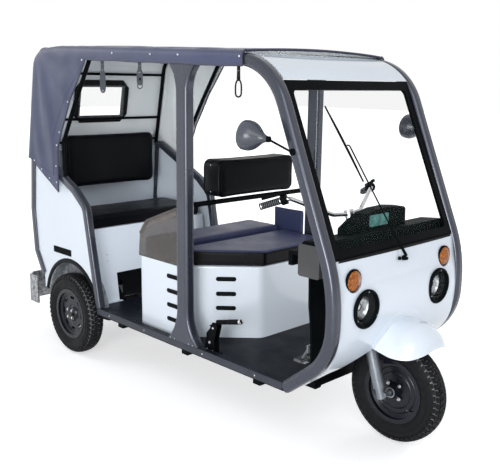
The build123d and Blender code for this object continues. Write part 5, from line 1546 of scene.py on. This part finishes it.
def instruments():
    """Bezel, three dials and the cover on the dashboard, its teal colour a painted reflection."""
    shape = Shape("instrument_cluster")
    place = facing(1.9615, -0.02, 1.106, (-1, 0, 0))
    shape.plate(laid(rounded(214, 66, 16, steps=4), place, 2), place, 3, "abs", edge=1.0)
    for y in (-0.078, 0.0, 0.078):
        dial = facing(1.9585, -0.02 + y, 1.106, (-1, 0, 0))
        r = 28 if y else 30
        shape.lathe([(r, 0), (r, 4), (r - 2, 5), (r - 4, 3.4), (r - 4.4, 1.0)], dial, "chrome",
            steps=36)
        shape.lathe([(r - 4.4, 1.0), (0.2, 1.0)], dial, "dial", steps=36)
        for k in range(9):
            a = math.radians(-120 + 30 * k)
            mark = [on(dial, q * math.sin(a), q * math.cos(a), 1.3) for q in (r - 9, r - 5.5)]
            shape.tube(mark, 0.6 * MM, "plate", sides=4)
        needle = [on(dial, 0, 0, 1.8), on(dial, -r * 0.55, r * 0.25, 1.8)]
        shape.tube(needle, 0.7 * MM, "amber", sides=4)
    # the cover's teal colour is a painted reflection
    cover = facing(2.0284, -0.016, 1.115, (1, 0, 0))
    shape.plate(laid(rounded(156, 58, 10, steps=4), cover, 2), cover, 2.2, "teal", edge=0.8)
    shape.make("dashboard")


def bulkhead():
    """Narrower shaped plate in front of the feet, with a pressed rib and bolts."""
    shape = Shape("bulkhead_plate")
    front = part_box("inner_shield")[1][0] - REAR_AXLE_X
    back = front - 0.012
    outline = [(-345, 930), (-338, 700), (-318, 560), (-305, 346), (305, 346), (318, 560),
        (338, 700), (345, 930), (26, 930), (26, 885), (-26, 885), (-26, 930)]
    rows = [[Vector((x, y * MM, z * MM)) for y, z in outline] for x in (front, back)]
    shape.grid(rows, "abs", wrap=True)
    faces = [(0, 1, 10, 11), (1, 2, 5, 6), (2, 3, 4, 5), (1, 6, 9, 10), (6, 7, 8, 9)]
    shape.put(rows[0], faces, "abs")
    shape.put(rows[1], [face[::-1] for face in faces], "abs")
    for z in (0.45, 0.60, 0.75):
        shape.tube([(back, -0.26, z), (back, 0.26, z)], 3.0 * MM, "abs", sides=8)
    for y in (-0.27, 0.27):
        for z in (0.38, 0.82):
            button(shape, back - 0.0002, y, z, (-1, 0, 0), scale=1.1)
    shape.make("inner_shield", replaces=True, sharp=30)


def wiper():
    """Spindle, arm, blade with its claws and the washer's nozzle in front of the windscreen."""
    shape = Shape("wiper_unit")
    up = Vector((-0.335, 0, 0.782)).normalized()
    out = Vector((up.z, 0, -up.x))

    def spot(side, rise, lift):
        return Vector((2.141, side, 1.002)) + up * rise + out * lift

    def blade(t):
        return -0.139 - 0.123 * t, 0.335 + 0.380 * t

    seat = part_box("wiper")[1][0] - REAR_AXLE_X - 0.026
    shape.lathe([(13, 0), (13, 9), (11, 14), (8, 16), (8, 25), (0.2, 26)],
        facing(seat, 0.006, 0.944, (1, 0, 0)), "abs", steps=26)
    shape.lathe([(9, 0), (9, 7), (6, 11), (0.2, 12)], facing(seat, -0.030, 0.947, (1, 0, 0)), "abs",
        steps=20)
    pivot, elbow = spot(0.006, -0.060, 0.022), spot(-0.052, 0.105, 0.020)
    tip, hook = spot(-0.180, 0.515, 0.018), spot(-0.190, 0.520, 0.012)
    shape.tube([pivot, pivot.lerp(elbow, 0.5), elbow], [7.5 * MM, 6.5 * MM, 5.5 * MM], "abs",
        flat=0.55)
    shape.tube([elbow, tip], 3.6 * MM, "abs", sides=8)
    shape.tube([tip, hook], 3.4 * MM, "abs", sides=8)
    for off, lift, thick, finish in ((0.0, 0.0065, 4.4, "rubber"), (-0.010, 0.0130, 3.2, "abs")):
        line = []
        for t in (i / 12 for i in range(13)):
            side, rise = blade(t)
            bow = 0.006 * math.sin(math.pi * t) if off else 0.0
            line.append(spot(side + off, rise - off * 0.3, min(lift + bow, 0.0185)))
        shape.tube(line, thick * MM, finish, sides=7)
    for t in (0.02, 0.33, 0.66, 0.98):
        side, rise = blade(t)
        claw = [spot(side, rise, 0.006), spot(side - 0.009, rise + 0.003, 0.0135)]
        shape.tube(claw, 2.0 * MM, "abs", sides=6)
    shape.make("wiper", replaces=True)


def grips():
    """Silver collars and ribs over each grip."""
    shape = Shape("handlebar_trim", "steering")
    for side in (-1, 1):
        a = Vector((1.716, side * 0.335, 1.216))
        b = Vector((1.600, side * 0.412, 1.168))
        way = (b - a).normalized()
        end = b
        for off, radius, width in ((-0.001, 18.0, 5), (-0.100, 18.4, 4)):
            ring = facing(*(end + way * off), way)
            shape.lathe([(radius - 3, -width), (radius, -width + 1), (radius, 0),
                (radius - 2.5, 1.2), (0.2, 1.4)], ring, "chrome", steps=26)
        for k in range(9):
            ring = facing(*(end - way * (0.012 + 0.0098 * k)), way)
            shape.lathe([(17.0, -2.4), (18.0, -1.4), (18.0, 1.4), (17.0, 2.4)], ring, "grip",
                steps=24)
    shape.make("handlebar_controls")


def brake_lever():
    """Silver tip, pivot bolts, ratchet quadrant and return spring of the parking brake."""
    shape = Shape("parking_brake_fittings")
    y = -0.477
    elbow, end = Vector((1.362, y, 0.522)), Vector((1.535, y, 0.566))
    way = (end - elbow).normalized()
    shape.lathe([(13.2, -14), (13.8, -12), (13.8, -2), (11, 0.6), (5, 1.6), (0.2, 1.8)],
        facing(*end, way), "chrome", steps=26)
    for k in range(5):
        ring = facing(*(end - way * (0.030 + 0.016 * k)), way)
        shape.lathe([(13.0, -4), (14.0, -2.4), (14.0, 2.4), (13.0, 4)], ring, "rubber", steps=24)
    cheek = [(1.292, 0.350), (1.344, 0.350), (1.346, 0.420), (1.368, 0.500), (1.356, 0.520),
        (1.330, 0.516), (1.304, 0.468), (1.292, 0.420)]
    for path, radius, finish in (([(1.318, 0.452), (1.262, 0.398)], 5, "zinc"),
            ([(1.288, 0.424), (1.262, 0.398)], 9, "powder"),
            ([(1.300, 0.470), (1.272, 0.440), (1.266, 0.352)], 6, "powder")):
        shape.tube([(x, y, z) for x, z in path], radius * MM, finish, sides=8)
    for side in (-1, 1):
        rows = [[Vector((x, y + side * off, z)) for x, z in cheek] for off in (0.013, 0.0175)]
        shape.grid(rows, "powder", wrap=True, caps=True)
        for x, off, z, across, height in ((1.336, 0.0176, 0.486, 9, 5),
                (1.310, 0.0176, 0.400, 11, 6), (1.286, 0.0152, 0.358, 7, 4),
                (1.334, 0.0152, 0.358, 7, 4)):
            hex_bolt(shape, x, y + side * off, z, (0, side, 0), across=across, height=height)
    coil = []
    for i in range(73):
        a = math.tau * i / 8
        base = Vector((1.286, y, 0.415)).lerp(Vector((1.345, y, 0.500)), i / 72)
        coil.append(base + Vector((0.005 * math.cos(a) - 0.012, 0.005 * math.sin(a), 0)))
    shape.tube(coil, 1.1 * MM, "zinc", sides=5)
    corners = ((1.258, y - 0.022), (1.372, y - 0.022), (1.372, y + 0.022), (1.258, y + 0.022))
    rows = [[Vector((*corner, z)) for corner in corners] for z in (0.3454, 0.3500)]
    shape.grid(rows, "powder", wrap=True, caps=True)
    for k in range(7):
        a = math.radians(20 + 14 * k)
        x, z = 1.312 + 0.050 * math.cos(a), 0.440 + 0.050 * math.sin(a)
        shape.tube([(x, y - 0.008, z), (x, y + 0.008, z)], 4 * MM, "powder", sides=8)
    shape.make("parking_brake")


def storage():
    """Latch and lid line of the storage box."""
    shape = Shape("storage_box_fittings")
    low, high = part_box("storage_box")
    y = high[1] + 0.0002
    button(shape, 1.963, y, 0.978, (0, 1, 0), scale=1.5)
    line = [(x - REAR_AXLE_X, y, high[2] - 0.032) for x in (low[0] + 0.004, high[0] - 0.004)]
    shape.tube(line, 1.2 * MM, "abs", sides=6)
    shape.make("storage_box")


def pedal():
    """Ribs on the brake pedal's pad, and its bracket on the floor."""
    shape = Shape("pedal_pad_and_bracket")
    for i in range(5):
        x = 1.796 + 0.009 * i
        shape.tube([(x, -0.346, 0.4085), (x, -0.284, 0.4085)], 1.6 * MM, "rubber", sides=6)
    shape.make("brake_pedal")
    plate = Shape("pedal_bracket")
    place = facing(1.745, -0.235, 0.3452, (0, 0, 1))
    ears = [(-34, -16), (-12, -22), (6, -10), (30, -12), (36, 4), (14, 10), (4, 22), (-14, 14),
        (-36, 12)]
    plate.plate(laid(ears, place, 1), place, 4.0, "alloy", edge=1.0)
    plate.tube([(1.735, -0.235, 0.349), (1.742, -0.235, 0.372), (1.765, -0.240, 0.380)], 6 * MM,
        "alloy", sides=10)
    for dx, dy in ((-0.026, -0.006), (0.024, 0.002)):
        button(plate, 1.745 + dx, -0.235 + dy, 0.3492, (0, 0, 1), scale=0.9)
    plate.make("brake_pedal")


def pillar_fixings():
    """Screws at the feet of the pillars."""
    shape = Shape("pillar_and_sill_bolts")
    for side in (-1, 1):
        for x in (1.040, 1.075, 1.195, 1.230):
            button(shape, x, side * 0.5485, 0.372, (0, side, 0), scale=0.6)
    shape.make("b_pillars")


class RICKSHAW_OT_cab(bpy.types.Operator):
    """Straps, mirror glass, instruments, screws and small cab fittings"""
    bl_idname = "rickshaw.cab"
    bl_label = "Cab Fittings"

    def execute(self, context):
        for build in (straps, mirrors, instruments, bulkhead, wiper, grips, brake_lever, storage,
                pedal, pillar_fixings):
            build()
        return {"FINISHED"}


# ---------------------------------------------------------------- stage
CAMERA_AT = (4.159, -2.994, 1.772)
CAMERA_YAW = 135.584
CAMERA_PITCH = -11.843
CAMERA_ROLL = 0.803
CAMERA_LENS = 53.4


def camera_matrix():
    """Where the camera stands and which way it looks."""
    yaw, pitch, roll = (math.radians(a) for a in (CAMERA_YAW, CAMERA_PITCH, CAMERA_ROLL))
    ahead = Vector((math.cos(pitch) * math.cos(yaw), math.cos(pitch) * math.sin(yaw),
        math.sin(pitch)))
    right = ahead.cross(Vector((0, 0, 1))).normalized()
    up = right.cross(ahead)
    side = right * math.cos(roll) + up * math.sin(roll)
    top = up * math.cos(roll) - right * math.sin(roll)
    turn = Matrix((side, top, -ahead)).transposed()
    return Matrix.Translation(at(*CAMERA_AT)) @ turn.to_4x4()


def seen_directly(tree):
    """1 for camera, glossy and transmission rays, so that metal and glass show the backdrop."""
    path = add(tree, "LightPath")
    both = add(tree, "Math", {0: path.outputs["Is Camera Ray"], 1: path.outputs["Is Glossy Ray"]},
        operation="MAXIMUM")
    every = add(tree, "Math", {0: both.outputs[0], 1: path.outputs["Is Transmission Ray"]},
        operation="MAXIMUM")
    return every.outputs[0]


def floor_material():
    """Pale floor that brightens to the backdrop far out."""
    material, tree, where, output = start_material("painted_floor_pale")
    soft = add(tree, "BsdfDiffuse", {"Color": (0.74, 0.74, 0.75, 1.0)})
    far = add(tree, "VectorMath", {0: where}, operation="LENGTH")
    lift = add(tree, "MapRange", {"Value": far.outputs["Value"], "From Min": 2.2, "From Max": 6.5,
        "To Min": 0.5, "To Max": 1.0})
    glow = add(tree, "Emission", {"Color": (1, 1, 1, 1), "Strength": lift.outputs["Result"]})
    shown = add(tree, "AddShader", {0: soft.outputs[0], 1: glow.outputs[0]})
    mix = add(tree, "MixShader", {0: seen_directly(tree), 1: soft.outputs[0], 2: shown.outputs[0]})
    tree.links.new(mix.outputs[0], output.inputs["Surface"])
    return material


def soft_lamp(name, place, target, size, power, mirrored=True):
    """Round area lamp aimed at a point."""
    lamp = bpy.data.lights.new(name, "AREA")
    lamp.shape = "DISK"
    lamp.size = size
    lamp.energy = power
    holder = bpy.data.objects.new(name, lamp)
    holder.visible_glossy = mirrored
    holder.location = place
    holder.rotation_euler = (Vector(target) - Vector(place)).to_track_quat("-Z", "Y").to_euler()
    bpy.context.scene.collection.objects.link(holder)


def paint(name, part, code):
    """Colour setting of a part."""
    return FloatVectorProperty(name=name, description="Colour of the " + part, size=3, min=0, max=1,
        default=linear(code)[:3], subtype="COLOR")


def length(name, description, default, low, high):
    """Setting of a length."""
    return FloatProperty(name=name, description=description, default=default, min=low, max=high,
        subtype="DISTANCE", unit="LENGTH")


def power(name, lamp, default):
    """Setting of a lamp."""
    return FloatProperty(name=name, description="Power of the " + lamp, default=default,
        subtype="POWER")


class RickshawPaint(bpy.types.PropertyGroup):
    body: paint("Body", "moulded body panels", "#d8e1eb")
    frame: paint("Frame", "hoops and pillars", "#3b3f4a")
    hood: paint("Hood", "hood cloth", "#373e5b")
    seat: paint("Driver's seat", "bench by the driver", "#3a4060")


class RickshawWheels(bpy.types.PropertyGroup):
    pitches: IntProperty(name="Tread pitches", description="Blocks round one row of the tread",
        default=50, min=24, max=60)
    tread: length("Tread depth", "Height of the tread blocks", 0.0066, 0.003, 0.0068)


class RickshawHood(bpy.types.PropertyGroup):
    folds: FloatProperty(name="Folds", description="Strength of the folds in the side curtains",
        default=1.0, min=0.0, max=1.3, subtype="FACTOR")
    sag: length("Sag", "How far the roof cloth drops behind the last bar", 0.017, 0.0, 0.018)


class RickshawSeats(bpy.types.PropertyGroup):
    stuffing: FloatProperty(name="Stuffing", description="Pressure that swells the cushions",
        default=4.0, min=2.0, max=6.0)
    piping: length("Piping", "Radius of the piping on the seams", 0.0026, 0.001, 0.004)


class RickshawStage(bpy.types.PropertyGroup):
    key: power("Key light", "main lamp", 72.0)
    front: power("Front light", "low lamp that reaches inside", 200.0)
    fill: power("Fill light", "weaker lamps", 60.0)
    sky: FloatProperty(name="Sky", description="Strength of the even light all round", default=0.5,
        min=0.0, max=1.0, subtype="FACTOR")


class RICKSHAW_OT_stage(bpy.types.Operator):
    """Pale floor, soft lamps, even sky and the camera"""
    bl_idname = "rickshaw.stage"
    bl_label = "Stage"

    def execute(self, context):
        scene = context.scene
        settings = scene.rickshaw_stage
        mesh = bpy.data.meshes.new("floor")
        r = 40.0
        mesh.from_pydata([(-r, -r, 0), (r, -r, 0), (r, r, 0), (-r, r, 0)], [], [(0, 1, 2, 3)])
        floor = bpy.data.objects.new("floor", mesh)
        floor.location.z = -0.0005
        floor.data.materials.append(floor_material())
        scene.collection.objects.link(floor)
        soft_lamp("key_lamp", (4.0, -3.6, 4.2), (0.2, 0, 0.9), 3.2, settings.key)
        soft_lamp("front_lamp", (3.1, -5.3, 1.6), (0.1, 0.3, 1.25), 2.6, settings.front)
        soft_lamp("fill_lamp", (3.6, 4.2, 2.4), (0.0, 0, 0.9), 3.0, settings.fill, mirrored=False)
        soft_lamp("door_lamp", (0.7, 4.8, 1.3), (-0.8, -0.2, 0.95), 2.0, 2.4 * settings.fill,
            mirrored=False)
        soft_lamp("back_lamp", (-4.2, -2.6, 3.4), (0, 0, 1.0), 3.0, settings.fill)
        world = bpy.data.worlds.new("even_sky")
        scene.world = world
        world.use_nodes = True
        tree = world.node_tree
        tree.nodes.clear()
        light = add(tree, "Background", {"Color": (0.94, 0.96, 1.0, 1.0), "Strength": settings.sky})
        white = add(tree, "Background", {"Color": (1, 1, 1, 1), "Strength": 1.0})
        mix = add(tree, "MixShader", {0: seen_directly(tree), 1: light.outputs[0],
            2: white.outputs[0]})
        output = add(tree, "OutputWorld")
        tree.links.new(mix.outputs[0], output.inputs["Surface"])
        camera = bpy.data.cameras.new("camera")
        camera.sensor_width = 36.0
        camera.lens = CAMERA_LENS
        holder = bpy.data.objects.new("camera", camera)
        holder.matrix_world = camera_matrix()
        scene.collection.objects.link(holder)
        scene.camera = holder
        scene.view_settings.view_transform = "Standard"
        return {"FINISHED"}


class RICKSHAW_OT_finishes(bpy.types.Operator):
    """Paint, plating, glass and rubber on every CAD node"""
    bl_idname = "rickshaw.finishes"
    bl_label = "Finishes"

    def execute(self, context):
        MATERIALS.update(make_materials(context.scene.rickshaw_paint))
        for finish, nodes in FINISHES.items():
            for name in nodes.split():
                materials = NODES[name].data.materials
                materials.clear()
                materials.append(MATERIALS[finish])
        return {"FINISHED"}


class RICKSHAW_PT_panel(bpy.types.Panel):
    """Buttons for every piece of the rickshaw"""
    bl_idname = "RICKSHAW_PT_panel"
    bl_label = "Auto Rickshaw"
    bl_space_type = "VIEW_3D"
    bl_region_type = "UI"
    bl_category = "Rickshaw"

    def draw(self, context):
        for operator in OPERATORS:
            self.layout.operator(operator.bl_idname)


OPERATORS = [RICKSHAW_OT_finishes, RICKSHAW_OT_wheels, RICKSHAW_OT_hood, RICKSHAW_OT_seats,
    RICKSHAW_OT_lamps, RICKSHAW_OT_trim, RICKSHAW_OT_cab, RICKSHAW_OT_stage]
GROUPS = {"rickshaw_paint": RickshawPaint, "rickshaw_wheels": RickshawWheels,
          "rickshaw_hood": RickshawHood, "rickshaw_seats": RickshawSeats,
          "rickshaw_stage": RickshawStage}


def register():
    for name, group in GROUPS.items():
        bpy.utils.register_class(group)
        setattr(bpy.types.Scene, name, PointerProperty(type=group))
    for operator in OPERATORS:
        bpy.utils.register_class(operator)
    bpy.utils.register_class(RICKSHAW_PT_panel)


def unregister():
    bpy.utils.unregister_class(RICKSHAW_PT_panel)
    for operator in reversed(OPERATORS):
        bpy.utils.unregister_class(operator)
    for name, group in reversed(GROUPS.items()):
        delattr(bpy.types.Scene, name)
        bpy.utils.unregister_class(group)


def main():
    register()
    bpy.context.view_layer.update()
    for operator in OPERATORS:
        group, action = operator.bl_idname.split(".")
        getattr(getattr(bpy.ops, group), action)()


if __name__ == "__main__":
    main()
